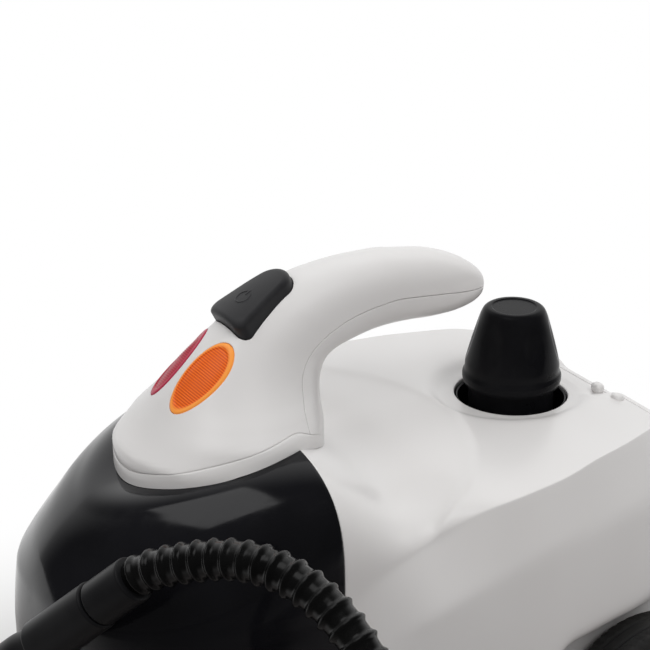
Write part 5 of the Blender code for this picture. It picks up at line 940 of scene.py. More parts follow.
    def _rear(self) -> None:
        """The rear panel: its rim is the last section, and further rings draw in and stand out."""
        rear = self.seam_y + self.length
        rim = self.lines(np.array([rear]))[0]
        low = np.stack([np.linspace(rim[-1, 0], rim[0, 0], 42)[1:-1], np.full(40, rear), np.full(40, self.base_z)], 1)
        loop = np.concatenate([rim, low])
        middle = np.array([0.0, rear, (self.base_z + self.roof_z) / 2])
        t = np.linspace(0, 1, 15)[:, None, None]
        rings, drawn, raised = self.rear_shares
        share = smooth_table(rings, drawn, t)
        back = self.rear_bulge * smooth_table(rings, raised, t)
        grid = middle + (loop[None] - middle) * share
        grid[..., 1] = rear + self.rear_gap + back[..., 0]
        inner = np.linspace(1, 0, 34)[1:, None, None]
        plain = middle + (grid[-1:] - middle) * inner
        plain[..., 1] = grid[-1, 0, 1]
        panel = Walled(np.concatenate([grid, plain]), self.wall, closed=True, tip=True)
        panel.facing = facing(panel.grid, middle)
        panel.cut(lambda p: round_hole(p, 0, 2, self.gland_place))
        place_piece("rear_panel", panel.mesh(), Slot.WHITE, WHITE_SHELL, ["rear_cover"])

    def _lugs(self) -> None:
        """Two rounded lugs on the rear edge: rounded boxes as super-ellipsoids."""
        u = np.linspace(-math.pi / 2, math.pi / 2, 17)[1:-1, None]
        v = np.linspace(0, 2 * math.pi, 32, endpoint=False)[None]
        round_u, round_v = (signed_power(np.cos(a), self.lug_power) for a in (u, v))
        shape = np.stack([round_u * round_v, round_u * signed_power(np.sin(v), self.lug_power),
                          signed_power(np.sin(u), self.lug_power) * np.ones_like(v)], axis=-1)
        for word, x in self.lug_places:
            grid = shape * np.array(self.lug_half) + np.array([x, *self.lug_line])
            place_piece(f"rear_lug_{word}", capped_mesh(grid), Slot.WHITE, WHITE_SHELL)


def round_hole(points: Array, across: int, up: int, place: tuple) -> Array:
    """Signed distance to a round hole along the third axis, by its middle and radius in the plane of two axes."""
    return np.hypot(points[..., across] - place[0], points[..., up] - place[1]) - place[2]


def facing(grid: Array, inside: Sequence[float]) -> float:
    """1 where a grid's normals point away from a place inside, otherwise -1."""
    return float(np.sign(np.sum(normals(grid) * (grid - np.asarray(inside)))))


def outline_distance(outline: Array, points: Array) -> Array:
    """Signed distance of flat points to a closed outline, negative inside.

    It is the least distance to any side, and the sign comes from the count of sides that a ray to the right meets.

    Args:
        outline: the outline's corners.
        points: places, with two coordinates last.

    Returns:
        The distances.
    """
    p = points.reshape(-1, 1, 2)
    a, b = outline[None], np.roll(outline, -1, axis=0)[None]
    side = b - a
    t = np.clip(np.sum((p - a) * side, -1) / np.sum(side**2, -1), 0, 1)
    away = np.linalg.norm(p - a - side * t[..., None], axis=-1).min(1)
    over = (a[..., 1] > p[..., 1]) != (b[..., 1] > p[..., 1])
    rise = np.where(side[..., 1] == 0, 1e-12, side[..., 1])
    right = p[..., 0] < a[..., 0] + side[..., 0] * (p[..., 1] - a[..., 1]) / rise
    inside = (over & right).sum(1) % 2 == 1
    return np.where(inside, -away, away).reshape(points.shape[:-1])


# The handle


@dataclass
class Handle:
    """The carrying handle: collar, two shells, power button and two signal lenses.

    Places along it are stations, the rows of front, rear, widths and splits: 0 at the foot, fair where the shells'
    lines stop following the body, the two of full where they lie closer, and last where the handle closes.
    """

    form: BodyForm
    foot_y: float = -0.123
    length: float = 0.199
    rise: float = 0.0725
    top_z: float = 0.2715
    grip: float = 0.0166
    rounds: tuple = (2.0, 2.0, 2.0, 2.0, 2.02, 2.1, 2.22, 2.32, 2.35, 2.35, 2.35, 2.35, 2.35, 2.35, 2.35, 2.35, 2.35)
    collar_height: float = 0.0070
    collar_profile: tuple = ((0.0, 0.00015), (0.0, 0.4), (0.0, 0.90), (0.00015, 0.97), (0.0005, 1.0), (0.0018, 1.0),
                             (0.0018, 0.1))
    split_gap: float = 0.0003
    wall: float = 0.0016
    thin: float = 0.3
    lip: float = 0.00018
    front: tuple = ((0.020, 0.0), (0.064, 0.108), (0.098, 0.212), (0.130, 0.320), (0.190, 0.494), (0.266, 0.666),
                    (0.347, 0.810), (0.418, 0.903), (0.503, 0.968), (0.618, 1.0), (0.690, 1.0), (0.759, 0.976),
                    (0.820, 0.950), (0.867, 0.916), (0.930, 0.840), (0.970, 0.760), (0.996, 0.665))
    rear: tuple = ((0.515, -0.060), (0.512, 0.060), (0.510, 0.170), (0.515, 0.260), (0.5265, 0.345), (0.545, 0.410),
                   (0.572, 0.445), (0.598, 0.462), (0.625, 0.475), (0.668, 0.494), (0.715, 0.502), (0.761, 0.500),
                   (0.822, 0.490), (0.870, 0.492), (0.930, 0.512), (0.970, 0.555), (0.996, 0.640))
    widths: tuple = (2.85, 2.80, 2.43, 2.01, 1.62, 1.38, 1.26, 1.19, 1.11, 1.045, 1.02, 1.0, 0.985, 0.965, 0.80, 0.56,
                     0.10)
    fair: float = 2.2
    full: tuple = (8.2, 13.0)
    last: float = 16.0
    splits: tuple = (0.66, 0.66, 0.655, 0.65, 0.62, 0.59, 0.565, 0.55, 0.54, 0.53, 0.52, 0.52, 0.52, 0.52, 0.52, 0.52,
                     0.52)
    patch_depth: float = 0.015
    button_share: float = 6.30
    button_half: float = 0.01875
    button_width: float = 0.0148
    button_rear: float = 0.0085
    button_corner: float = 0.0046
    button_proud: float = 0.0046
    button_crown: float = 0.0022
    button_fall: float = 0.0012
    button_edge: float = 0.0024
    button_depth: float = 0.0062
    button_rim: float = 0.16
    button_inward: float = -0.0010
    sign_y: float = -0.0047
    sign_radius: float = 0.0037
    sign_height: float = 0.00028
    sign_half: float = 0.00042
    sign_side: float = 0.0002
    sign_gap: float = 0.45
    sign_bar: tuple = (0.00038, 0.0012, 0.0046)
    lens_share: float = 3.95
    lens_x: float = 0.0111
    lens_half: float = 0.0198
    lens_width: float = 0.0086
    lens_rib: float = 0.00010
    lens_pitch: float = 0.00108
    lens_crown: float = 0.0007
    lens_rim: float = 0.00055
    lens_field: float = 0.82
    lens_sink: float = 0.0001
    lens_sides: tuple = (-0.0012, -0.0034)

    def section(self, share: Array) -> tuple[Array, Array, Array, Array, Array]:
        """Middle, upward direction, half height, half width and split angle of the sections at stations."""
        at = np.arange(len(self.front))
        front, rear = (np.stack([np.zeros_like(share), self.foot_y + self.length * smooth_table(at, y, share),
                                 self.top_z - self.rise + self.rise * smooth_table(at, z, share)], -1)
                       for y, z in (zip(*self.front), zip(*self.rear)))
        half = np.linalg.norm(front - rear, axis=-1) / 2
        return ((front + rear) / 2, unit(front - rear), half, self.grip * smooth_table(at, self.widths, share),
                math.pi * smooth_table(at, self.splits, share))

    def roundness(self, share: Array) -> Array:
        """Exponent of the sections' super-ellipses at stations."""
        return smooth_table(np.arange(len(self.rounds)), self.rounds, share)

    def skin(self, share: Array, angle: Array, inset: Array = 0.0) -> Array:
        """Points of the skin: middle + x sin^p a + up cos^p a, p = 2 / roundness, carried straight down below 0."""
        over = np.maximum(share, 0.0)
        middle, up, half, width, _ = self.section(over)
        power = 2 / self.roundness(over)
        across = signed_power(np.sin(angle), power) * (width - inset)
        above = signed_power(np.cos(angle), power) * (half - inset)
        made = middle + up * above[..., None]
        made[..., 0] += across
        made[..., 2] += np.minimum(share, 0.0) * self.collar_height * 2
        return made

    def foot(self, angle: Array, inset: float, lift: float) -> Array:
        """Stations at which lines along the handle meet the body, lifted, by halving."""
        low, high = np.full(angle.shape, -1.0), np.full(angle.shape, self.fair)
        for _ in range(22):
            middle = (low + high) / 2
            p = self.skin(middle, angle, inset)
            under = p[:, 2] < self.form.height(p[:, 0], p[:, 1]) + lift
            low, high = np.where(under, middle, low), np.where(under, high, middle)
        return (low + high) / 2

    def half_skin(self, upper: bool, columns: int) -> tuple[Array, Array]:
        """Outer points of one half of the handle, and how thick its wall may be there."""
        bend, tail = self.full
        stations = np.concatenate([spaced((self.fair, bend, 110), (bend, tail, 50)),
                                   self.last - (self.last - tail) * np.linspace(1, 0, 34) ** 1.6])
        t = np.linspace(-1, 1, columns)

        def angles(share: Array) -> Array:
            """Angles of the lines round the half at stations."""
            _, _, half, width, split = self.section(np.maximum(share, 0.0))
            gap = self.split_gap / 2 / np.maximum(width, half)
            reach = (split - gap) if upper else (math.pi - split - gap)
            spread = t * reach[..., None] if np.ndim(share) else t * reach
            return spread if upper else math.pi + spread

        start = angles(np.array(0.0))
        feet = self.foot(start, 0.0, self.collar_height + 0.0003)
        feet = softened(feet[:, None], 1.5)[:, 0]
        blend = np.linspace(0, 1, 14, endpoint=False)[:, None]
        low = feet[None] + (self.fair - feet[None]) * blend
        mixed = start[None] * (1 - blend) + angles(np.array(self.fair))[None] * blend
        share = np.concatenate([low, np.broadcast_to(stations[:, None], (len(stations), columns))])
        angle = np.concatenate([mixed, angles(stations)])
        grid = self.skin(share, angle)
        middle = self.section(np.array([self.last]))[0]
        grid = np.concatenate([grid, middle + (grid[-1:] - middle) * np.array([0.6, 0.3, 0.0])[:, None, None]])
        _, _, half, width, _ = self.section(np.maximum(share, 0.0))
        room = np.minimum(half, width)
        return grid, np.concatenate([room, np.repeat(room[-1:], 3, axis=0)])

    def patch(self, share: float) -> tuple[Array, Array, Array]:
        """A place on the front line, the line's direction there and the outward normal."""
        a, b, c = (self.skin(np.array([share + d]), np.zeros(1))[0] for d in (-0.2, 0.2, 0.0))
        along = unit(b - a)
        return c, along, np.array([0.0, -along[2], along[1]])

    def on_patch(self, share: float, points: Array) -> tuple[Array, Array]:
        """Flat places of points round a patch, across and along it, and their heights over it."""
        spot, along, out = self.patch(share)
        p = points - spot
        return np.stack([p[..., 0], p @ along], axis=-1), p @ out

    def skin_height(self, share: float, flat: Array) -> Array:
        """Points of the skin under flat places of a patch, found by Newton steps along the handle."""
        spot, along, _ = self.patch(share)
        at = np.full(flat.shape[:-1], share)
        for _ in range(5):
            _, _, _, width, _ = self.section(at)
            share_across = np.clip(np.abs(flat[..., 0]) / width, 0, 0.999)
            angle = np.arcsin(share_across ** (self.roundness(at) / 2)) * np.sign(flat[..., 0])
            here, ahead = self.skin(at, angle), self.skin(at + 0.02, angle)
            gain = (ahead - here) @ along / 0.02
            at = at + (flat[..., 1] - (here - spot) @ along) / gain
        return self.skin(at, angle)

    def button_outline(self, grow: float = 0.0) -> Array:
        """The button's outline: straight wide front with small corners, and a narrow round rear."""
        half, width, rear = self.button_half + grow, self.button_width + grow, self.button_rear + grow
        corner = self.button_corner
        a = np.linspace(0, math.pi / 2, 10)
        first = np.stack([-width + corner - corner * np.cos(a), -half + corner - corner * np.sin(a)], -1)
        second = first[::-1] * np.array([-1.0, 1.0])
        b = np.linspace(0, math.pi, 30)[1:-1]
        back = np.stack([rear * np.cos(b) * 1.15, half - rear + rear * np.sin(b)], -1)
        return np.concatenate([first, second, back])

    def lens_outline(self, side: int, grow: float) -> Array:
        """The oval of a lens."""
        a = np.linspace(0, 2 * math.pi, 96, endpoint=False)
        return np.stack([side * self.lens_x + (self.lens_width + grow) * np.cos(a),
                         (self.lens_half + grow) * np.sin(a)], -1)

    def opening(self, share: float, outline: Array) -> Callable[[Array], Array]:
        """Signed distance to an outline on a patch, for points near the patch."""

        def distance(points: Array) -> Array:
            """The distance, or 1 away from the patch."""
            flat, height = self.on_patch(share, points)
            return np.where(np.abs(height) < self.patch_depth, outline_distance(outline, flat), 1.0)

        return distance

    def build(self) -> None:
        """Makes every piece of the handle."""
        for name, upper, columns, node in (("handle_top", True, 97, "handle_upper_shell"),
                                           ("handle_underside", False, 65, "handle_lower_shell")):
            grid, room = self.half_skin(upper, columns)
            shell = Walled(grid, np.minimum(self.wall, self.thin * room), self.lip, tip=True)
            shell.facing = facing(grid[40:80], grid[40:80].mean(axis=(0, 1)))
            if upper:
                shell.cut(self.opening(self.button_share, self.button_outline(0.0004)))
                for side in (1, -1):
                    shell.cut(self.opening(self.lens_share, self.lens_outline(side, 0.0003)))
            place_piece(name, shell.mesh(), Slot.WHITE, WHITE_SHELL, [node])
        self._collar()
        self._button()
        self._lens("lens_amber", 1, AMBER, Slot.AMBER, "amber_lens")
        self._lens("lens_red", -1, RED, Slot.RED, "red_lens")

    def _collar(self) -> None:
        """The band under the handle: the handle's own skin, from the body's surface up to its height."""
        angle = np.linspace(-math.pi, math.pi, 161)[:-1]
        rows = []
        for inset, share in self.collar_profile:
            lift = share * self.collar_height if share > 0.001 else share
            feet = softened(np.tile(self.foot(angle, inset, lift), 3)[:, None], 2.0)[160:320, 0]
            rows.append(self.skin(feet, angle, np.array(inset)))
        place_piece("collar_band", ring_mesh(np.stack(rows), 50), Slot.WHITE, WHITE_SHELL, ["handle_collar"])

    def _button(self) -> None:
        """The rocker key: its outline drawn in ring by ring over a crowned top with a raised power sign.

        The height over the patch is proud - round(r) - crown (a / width)^2 - fall (b / half)^2 + sign(a, b), where
        r is the share of the way from the middle to the outline, a is across and b is rearward.
        """
        spot, along, out = self.patch(self.button_share)
        across = np.array([1.0, 0.0, 0.0])
        outline = spread_evenly(np.concatenate([self.button_outline(), self.button_outline()[:1]]), 181)[:-1]
        inward = np.array([0.0, self.button_inward])
        start = 1 - self.button_rim
        r = np.concatenate([np.linspace(0.004, start, 84), 1 - self.button_rim * np.linspace(1, 0, 16)[1:] ** 1.6])
        r = r[:, None, None]
        flat = inward * (1 - r) + outline[None] * r
        edge = np.clip((r[..., 0] - start) / self.button_rim, 0, 1)
        top = (self.button_proud - self.button_edge * (1 - np.sqrt(np.maximum(1 - edge**2, 0.0)))
               - self.button_crown * (flat[..., 0] / self.button_width) ** 2
               - self.button_fall * (np.maximum(flat[..., 1], 0.0) / self.button_half) ** 2)
        top = top + self._power_sign(flat[..., 0], flat[..., 1] - self.sign_y)
        upper = spot + flat[..., :1] * across + flat[..., 1:] * along + top[..., None] * out
        height = top[-1:] + (-self.button_depth - top[-1:]) * np.array([0.2, 0.6, 1.0])[:, None]
        side = spot + outline[None, :, :1] * across + outline[None, :, 1:] * along + height[..., None] * out
        key = capped_mesh(np.concatenate([upper, side]), 50)
        place_piece("power_key", key, Slot.SATIN, BUTTON_TOP, ["power_button"], Body.BUTTON)

    def _power_sign(self, x: Array, y: Array) -> Array:
        """Height of the power sign: a ring that is open in front of an upright bar, both with eased sides."""
        half, side = self.sign_half, self.sign_side
        bar_half, bar_start, bar_end = self.sign_bar
        gap = np.abs(np.arctan2(x, y)) > self.sign_gap
        ring = ease((half - np.abs(np.hypot(x, y) - self.sign_radius)) / side) * gap
        bar = ease((bar_half - np.abs(x)) / side) * (y > bar_start) * (y < bar_end)
        return self.sign_height * np.maximum(ring, bar)

    def _lens(self, name: str, side: int, finish: LensFinish, slot: Slot, node: str) -> None:
        """A lens: an oval that follows the skin, with a raised rim and a crowned, ribbed middle.

        Over the skin its height is crown (1 - (r / field)^2) inside the rim plus ribs sin(2 pi b / pitch), and the rim
        is a half circle. side is 1 towards +X, otherwise -1.
        """
        _, _, out = self.patch(self.lens_share)
        wide = 160
        r = np.concatenate([np.linspace(0.01, 0.80, 60), np.linspace(0.80, 1.0, 16)[1:]])[:, None]
        a = np.linspace(0, 2 * math.pi, wide, endpoint=False)
        flat = np.stack([side * self.lens_x + self.lens_width * r * np.cos(a), self.lens_half * r * np.sin(a)], -1)
        skin = self.skin_height(self.lens_share, flat)
        waves = self.lens_rib * np.sin(2 * math.pi * flat[..., 1] / self.lens_pitch)
        ribs = waves * ease((self.lens_field - 0.04 - r) / 0.06)
        dome = self.lens_crown * np.maximum(1 - (r / self.lens_field) ** 2, 0.0) - self.lens_sink
        half = (1 - self.lens_field) / 2
        rim = self.lens_rim * np.sqrt(np.maximum(1 - ((r - 1 + half) / half) ** 2, 0.0))
        upper = skin + (ribs + dome + rim)[..., None] * out
        mesh = capped_mesh(np.concatenate([upper, skin[-1:] + np.array(self.lens_sides)[:, None, None] * out]), 50)
        shares = np.concatenate([np.repeat(r, wide), np.ones(2 * wide)])
        along = flat[..., 1] / (2 * self.lens_half)
        along = np.concatenate([along.reshape(-1), np.tile(along[-1], 2)])
        corner = np.empty(len(mesh.loops), np.int32)
        mesh.loops.foreach_get("vertex_index", corner)
        layer = mesh.uv_layers.new(name="lens")
        layer.data.foreach_set("uv", np.stack([shares[corner], along[corner]], 1).ravel())
        place_piece(name, mesh, slot, finish, [node])


# The cap and the filler


@dataclass
class Filler:
    """The screw cap over the black well that it stands in.

    Its profiles are rows of radius and height: flange and waist in shares of the cap's own, disc from its top, and
    inner and cup in metres.
    """

    y: float = 0.096
    cap_z: float = 0.1872
    height: float = 0.0401
    radius: float = 0.0250
    flange: tuple = ((0.968, 0.0), (1.0, 0.055), (1.0, 0.125), (0.965, 0.16))
    waist: tuple = ((0.955, 0.175), (0.952, 0.25), (0.930, 0.34), (0.868, 0.52), (0.785, 0.70), (0.692, 0.86),
                    (0.632, 0.95), (0.595, 0.984), (0.545, 1.0))
    disc: tuple = ((0.0122, 0.0001), (0.0113, 0.0001), (0.0109, -0.0004), (0.0, -0.0004))
    inner: tuple = ((0.0, 0.0322), (0.0170, 0.0322), (0.0185, 0.0200), (0.0200, 0.0), (0.0200, -0.0250),
                    (0.0215, -0.0250), (0.0215, -0.0002), (0.0236, 0.0))
    dent_depth: float = 0.0019
    dent_half: float = 0.0064
    dent_span: tuple = (0.26, 0.90)
    dent_phase: float = -6.5
    dent_fade: float = 0.002
    dent_inset: float = 0.0006
    cup: tuple = ((0.0281, 0.165), (0.0281, 0.1788), (0.0278, 0.1795), (0.0269, 0.1790), (0.0266, 0.170),
                  (0.0266, 0.1542), (0.0141, 0.1542), (0.0141, 0.1521), (0.0281, 0.1521), (0.0281, 0.164))

    def build(self) -> None:
        """Makes the cap and the well."""
        size = np.array([self.radius, self.height])
        flange = spread_evenly(rounded(np.array(self.flange) * size, 0.0009), 26)
        waist = np.array(self.waist) * size
        up = np.linspace(waist[0, 1], waist[-1, 1], 90)
        curve = np.stack([smooth_table(waist[:, 1], waist[:, 0], up), up], axis=-1)
        side = spread_evenly(softened(np.concatenate([flange[-1:], curve]), 1.2), 80)[1:]
        disc = rounded(np.concatenate([side[-1:], np.array(self.disc) + np.array([0.0, self.height])]), 0.0003)[1:]
        inner = rounded(self.inner, 0.0006)
        profile = np.concatenate([disc[::-1], side[::-1], flange[::-1], inner[::-1][1:]])
        cap = lathe_mesh(profile, (0.0, self.y, self.cap_z), arcs=240, shape=self.dented, sharp=60)
        place_piece("screw_cap", cap, Slot.SATIN, CAP_BLACK, ["safety_cap"], Body.CAP)
        cup = lathe_mesh(rounded(self.cup, 0.0006), (0.0, self.y, 0.0), arcs=160)
        place_piece("filler_cup", cup, Slot.GLOSS, WELL_BLACK, ["filler_well"])

    def dented(self, radius: Array, height: Array, turn: Array) -> Array:
        """Radii with six upright oval dents: depth (1 - a^2 - b^2)^1.5, a across and b up, where that is positive."""
        low, high = (self.height * s for s in self.dent_span)
        sixth = math.pi / 3
        off = (turn - math.radians(self.dent_phase) + sixth / 2) % sixth - sixth / 2
        a = off * radius / self.dent_half
        b = (height - (low + high) / 2) / ((high - low) / 2)
        hollow = np.maximum(1 - a * a - b * b, 0.0) ** 1.5
        over = ease((height - self.flange[-1][1] * self.height) / self.dent_fade)
        return radius - self.dent_depth * hollow * over * (radius > self.disc[0][0] + self.dent_inset)


# The wheels


@dataclass
class RearWheels:
    """Two rear wheels with treaded tyres, and their hubcaps.

    Their profiles are rows of radius and height: the tyre's in shares of radius and width, the face's from the outer
    side, and the hub's from the face's floor. The cuts lie outside the middle of the tread and slant.
    """

    y: float = 0.112
    radius: float = 0.047
    inner_x: float = 0.089
    width: float = 0.0225
    cuts: int = 54
    cut_depth: float = 0.0008
    cut_slant: float = 16.0
    cut_level: float = 0.55
    cut_fade: float = 0.25
    middle_half: float = 0.18
    middle_fade: float = 0.05
    tread: float = 0.93
    back: tuple = ((0.0044, 0.0), (0.012, 0.0), (0.013, 0.0035), (0.036, 0.0035), (0.039, 0.0))
    tyre: tuple = ((0.955, 0.0), (0.99, 0.10), (1.0, 0.24), (1.0, 0.32), (0.982, 0.335), (0.982, 0.375), (1.0, 0.39),
                   (1.0, 0.61), (0.982, 0.625), (0.982, 0.665), (1.0, 0.68), (1.0, 0.76), (0.99, 0.90), (0.955, 1.0))
    face: tuple = ((0.0365, 0.0), (0.033, -0.0008), (0.0318, -0.005), (0.0044, -0.005))
    hub: tuple = ((0.0, 0.0067), (0.0075, 0.0065), (0.0082, 0.0057), (0.0180, 0.0051), (0.0190, 0.0059),
                  (0.0250, 0.0053), (0.029, 0.0029), (0.029, 0.0021), (0.0, 0.0021))

    def build(self) -> None:
        """Makes both wheels and both hubcaps."""
        profile = np.concatenate([np.array(self.back), np.array(self.tyre) * np.array([self.radius, self.width]),
                                  np.array(self.face) + np.array([0.0, self.width])])
        profile = spread_evenly(rounded(np.concatenate([profile, profile[:1]]), 0.0006), 150)[:-1]
        cap = rounded(np.array(self.hub) + np.array([0.0, self.width + self.face[-1][1]]), 0.0009)
        cap = np.concatenate([cap[:1], spread_evenly(cap[1:-1], 70), cap[-1:]])
        for body in (Body.WHEEL_LEFT, Body.WHEEL_RIGHT):
            word = body.value.split("_")[1]
            sign = 1 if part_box(f"rear_wheel_{word}")[0][0] > 0 else -1
            centre, turned = (sign * self.inner_x, self.y, self.radius), np.array([1.0, sign])
            tyre = lathe_mesh(profile * turned, centre, "X", 216, self.treaded)
            place_piece(f"tyre_{word}", tyre, Slot.RUBBER, TYRE_RUBBER, [f"rear_wheel_{word}"], body)
            hubcap = lathe_mesh(cap * turned, centre, "X", 144)
            place_piece(f"wheel_cap_{word}", hubcap, Slot.WHITE, WHITE_SHELL, [f"hubcap_{word}"], body)

    def treaded(self, radius: Array, height: Array, turn: Array) -> Array:
        """Radii with slanting cuts across each shoulder of the tyre."""
        across = np.abs(height) / self.width
        edge = ease((np.abs(across - 0.5) - self.middle_half) / self.middle_fade) * (radius > self.tread * self.radius)
        wave = np.cos(self.cuts * turn + self.cut_slant * across)
        return radius - self.cut_depth * edge * ease((wave - self.cut_level) / self.cut_fade)


# The hose


@dataclass
class Hose:
    """The ribbed steam hose from the elbow at the nose, over the floor in a coil, to the parked gun.

    elbow_lip is a height and where it ends, elbow_neck a depth, its start from the end and its fade, and cuff_rim the
    radius of a cuff's edge and where its straight part starts.
    """

    radius: float = 0.0090
    root: float = 0.0076
    pitch: float = 0.0075
    samples: int = 14
    start: tuple = (0.0667, -0.1465, 0.1735)
    corner: tuple = (0.0, -0.20355, 0.095)
    front: tuple = ((0.0840, -0.1322, 0.1866), (0.1055, -0.1155, 0.1946), (0.1295, -0.1025, 0.1940),
                    (0.1520, -0.0940, 0.1845), (0.1710, -0.0890, 0.1685), (0.1865, -0.0870, 0.1465),
                    (0.1993, -0.0865, 0.1215), (0.2122, -0.0863, 0.0973), (0.2280, -0.0860, 0.0748),
                    (0.2475, -0.0840, 0.0562), (0.2700, -0.0790, 0.0422))
    rear: tuple = ((0.1885, 0.1768, 0.0096), (0.1660, 0.1762, 0.0137), (0.1452, 0.1742, 0.0257),
                   (0.1298, 0.1710, 0.0435), (0.1188, 0.1683, 0.0595), (0.1070, 0.1663, 0.0708))
    coil_centre: tuple = (0.248, 0.034)
    coil_radius: float = 0.0970
    coil_pitch: float = 0.0194
    straight: float = 0.0180
    coil_start: int = -62
    coil_end: int = 450
    step: int = 15
    ramp: float = 0.0220
    ramp_degrees: int = 60
    gun_end: tuple = (0.05565, 0.1655, 0.09493)
    gun_along: tuple = (0.91355, 0.0, -0.40674)
    gun_cuff: float = 0.0240
    sleeve: tuple = (0.0590, 0.0982)
    sleeve_radius: float = 0.0112
    cuff_start: float = 0.0985
    cuff_radius: float = 0.0104
    elbow_end: float = 0.0587
    elbow_radius: float = 0.0106
    elbow_lip: tuple = (0.0010, 0.0035)
    elbow_neck: tuple = (0.0008, 0.012, 0.01)
    cuff_rim: tuple = (0.0012, 0.0014)
    cuff_over: float = 0.004
    gap: float = 0.0003
    seat_gap: float = 0.0009
    rib_power: float = 3.5
    bend: float = 0.02015
    plug_start: tuple = (0.0, -0.1808, 0.095)

    @property
    def along(self) -> Array:
        """The hose's direction where it leaves the elbow."""
        return unit(np.array(self.start) - np.array(self.corner))

    def coiled(self, degrees: float, rear_half: bool) -> tuple[float, float, float]:
        """A place on the coil: two half circles whose radius grows with the angle, held apart by a straight."""
        turned = math.radians(degrees - self.coil_start)
        radius = self.coil_radius + self.coil_pitch * turned / (2 * math.pi)
        shift = self.straight if rear_half else -self.straight
        fall = 0.0 if rear_half or degrees > 0 else max(0.0, 1 - (degrees - self.coil_start) / self.ramp_degrees)
        turn = math.radians(degrees)
        return (self.coil_centre[0] + radius * math.cos(turn), self.coil_centre[1] + shift + radius * math.sin(turn),
                self.radius + self.ramp * fall**2)

    def route(self) -> list:
        """The points that the hose passes."""
        start = np.array(self.start)
        points = [start, start + self.along * self.radius * 0.7, *self.front]
        points += [self.coiled(d, False) for d in range(self.coil_start, 1, self.step)]
        for first, rear_half in ((0, True), (180, False), (360, True)):
            last = min(first + 180, self.coil_end)
            points.append((self.coiled(first, rear_half)[0], self.coil_centre[1], self.radius))
            points += [self.coiled(d, rear_half) for d in range(first, last + 1, self.step)]
        x, y, _ = points[-1]
        points += [(x - self.straight * k, y, self.radius) for k in (1, 2)]
        out = np.array(self.gun_along)
        seat = np.array(self.gun_end) + out * (self.gun_cuff + self.seat_gap)
        return points + [*self.rear, seat + out * self.radius * 2, seat + out * self.radius, seat]

    def build(self) -> None:
        """Makes the hose, its elbow and its cuffs.

        The hose's radius is root + (radius - root) ((1 + cos) / 2)^power along each pitch, so its ribs are narrow
        round crests between wide hollows.
        """
        elbow = self._elbow()
        corner, along = np.array(self.corner), self.along
        reach = float(np.linalg.norm(np.array(self.start) - corner))
        sleeve = self._cuff("hose_sleeve_cover", corner, along, self.sleeve, self.sleeve_radius, "hose_sleeve")
        cuff = self._cuff("hose_front_cuff", corner, along, (self.cuff_start, reach + self.cuff_over), self.cuff_radius,
                          "hose_cuff")
        gun = self._cuff("gun_end_cuff", np.array(self.gun_end), np.array(self.gun_along),
                         (self.gap, self.gun_cuff + self.gap), self.cuff_radius, "gun_cuff")
        fine = spline(self.route(), self.pitch / 24)
        length = float(travelled(fine)[-1])
        ribs = int(round(length / self.pitch))
        line = spread_evenly(fine, ribs * self.samples + 1)
        phase = np.arange(len(line)) / self.samples * 2 * math.pi
        radii = self.root + (self.radius - self.root) * ((1 + np.cos(phase)) / 2) ** self.rib_power
        hose = place_piece("steam_hose", tube_mesh(line, radii, 20, 80), Slot.RUBBER, BLACK_RUBBER,
                           ["hose_front", "hose_coil", "hose_rear"])
        path = line[::3]
        path = np.concatenate([path, line[-1:]]) if (len(line) - 1) % 3 else path
        list(self.start)

    def _cuff(self, name: str, origin: Array, along: Array, ends: tuple[float, float], radius: float, node: str
              ) -> bpy.types.Object:
        """A smooth sleeve with rounded ends on a straight stretch."""
        low, high = ends
        rim, inset = self.cuff_rim
        t = np.concatenate([np.linspace(0, rim, 7), np.linspace(inset, high - low - inset, 20),
                            high - low - np.linspace(rim, 0, 7)])
        near = np.minimum(t, high - low - t)
        radii = radius - rim + rim * np.sqrt(np.maximum(1 - (1 - np.minimum(near / rim, 1)) ** 2, 0.0))
        mesh = tube_mesh(origin + along * (low + t[:, None]), radii)
        return place_piece(name, mesh, Slot.SATIN, BLACK_SATIN, [node])

    def _elbow(self) -> bpy.types.Object:
        """The bent plug in the socket: a tube along two straights and a quadratic bend."""
        corner, along = np.array(self.corner), self.along
        a, b = corner + np.array([0.0, self.bend, 0.0]), corner + along * self.bend
        bend = quadratic(a, corner, b, np.linspace(0, 1, 24)[:, None])
        first = np.array([self.plug_start])
        line = np.concatenate([first + (a - first) * np.linspace(0, 1, 10, endpoint=False)[:, None], bend,
                               b + along * np.linspace(0, self.elbow_end - self.bend, 24)[1:, None]])
        s = travelled(line)
        (lip, lip_end), (neck, neck_start, neck_fade) = self.elbow_lip, self.elbow_neck
        radii = self.elbow_radius + lip * (s < lip_end) - neck * ease((s - s[-1] + neck_start) / neck_fade)
        return place_piece("hose_elbow_cover", tube_mesh(line, radii), Slot.SATIN, BLACK_SATIN, ["hose_elbow"])


# The stage


def smooth_range(tree: bpy.types.NodeTree, value: bpy.types.NodeSocket, start: float, end: float,
                  low: float = 0.0, high: float = 1.0) -> bpy.types.NodeSocket:
    """A smooth step from low to high while a value goes from start to end."""
    node, = add_nodes(tree, "MapRange")
    node.interpolation_type = "SMOOTHSTEP"
    fill(node.inputs, From_Min=start, From_Max=end, To_Min=low, To_Max=high)
    tree.links.new(value, node.inputs["Value"])
    return node.outputs["Result"]


CAMERA_SIDE = (0.866, -0.5)


def toward_camera(tree: bpy.types.NodeTree) -> tuple:
    """How far a place or direction lies on the camera's side, and its x, y and z."""
    place, split = add_nodes(tree, "TexCoord", "SeparateXYZ")
    tree.links.new(place.outputs["Object"], split.inputs["Vector"])
    x, y, z = (split.outputs[k] for k in range(3))
    return maths(tree, "MULTIPLY_ADD", x, CAMERA_SIDE[0], maths(tree, "MULTIPLY", y, CAMERA_SIDE[1])), x, y, z


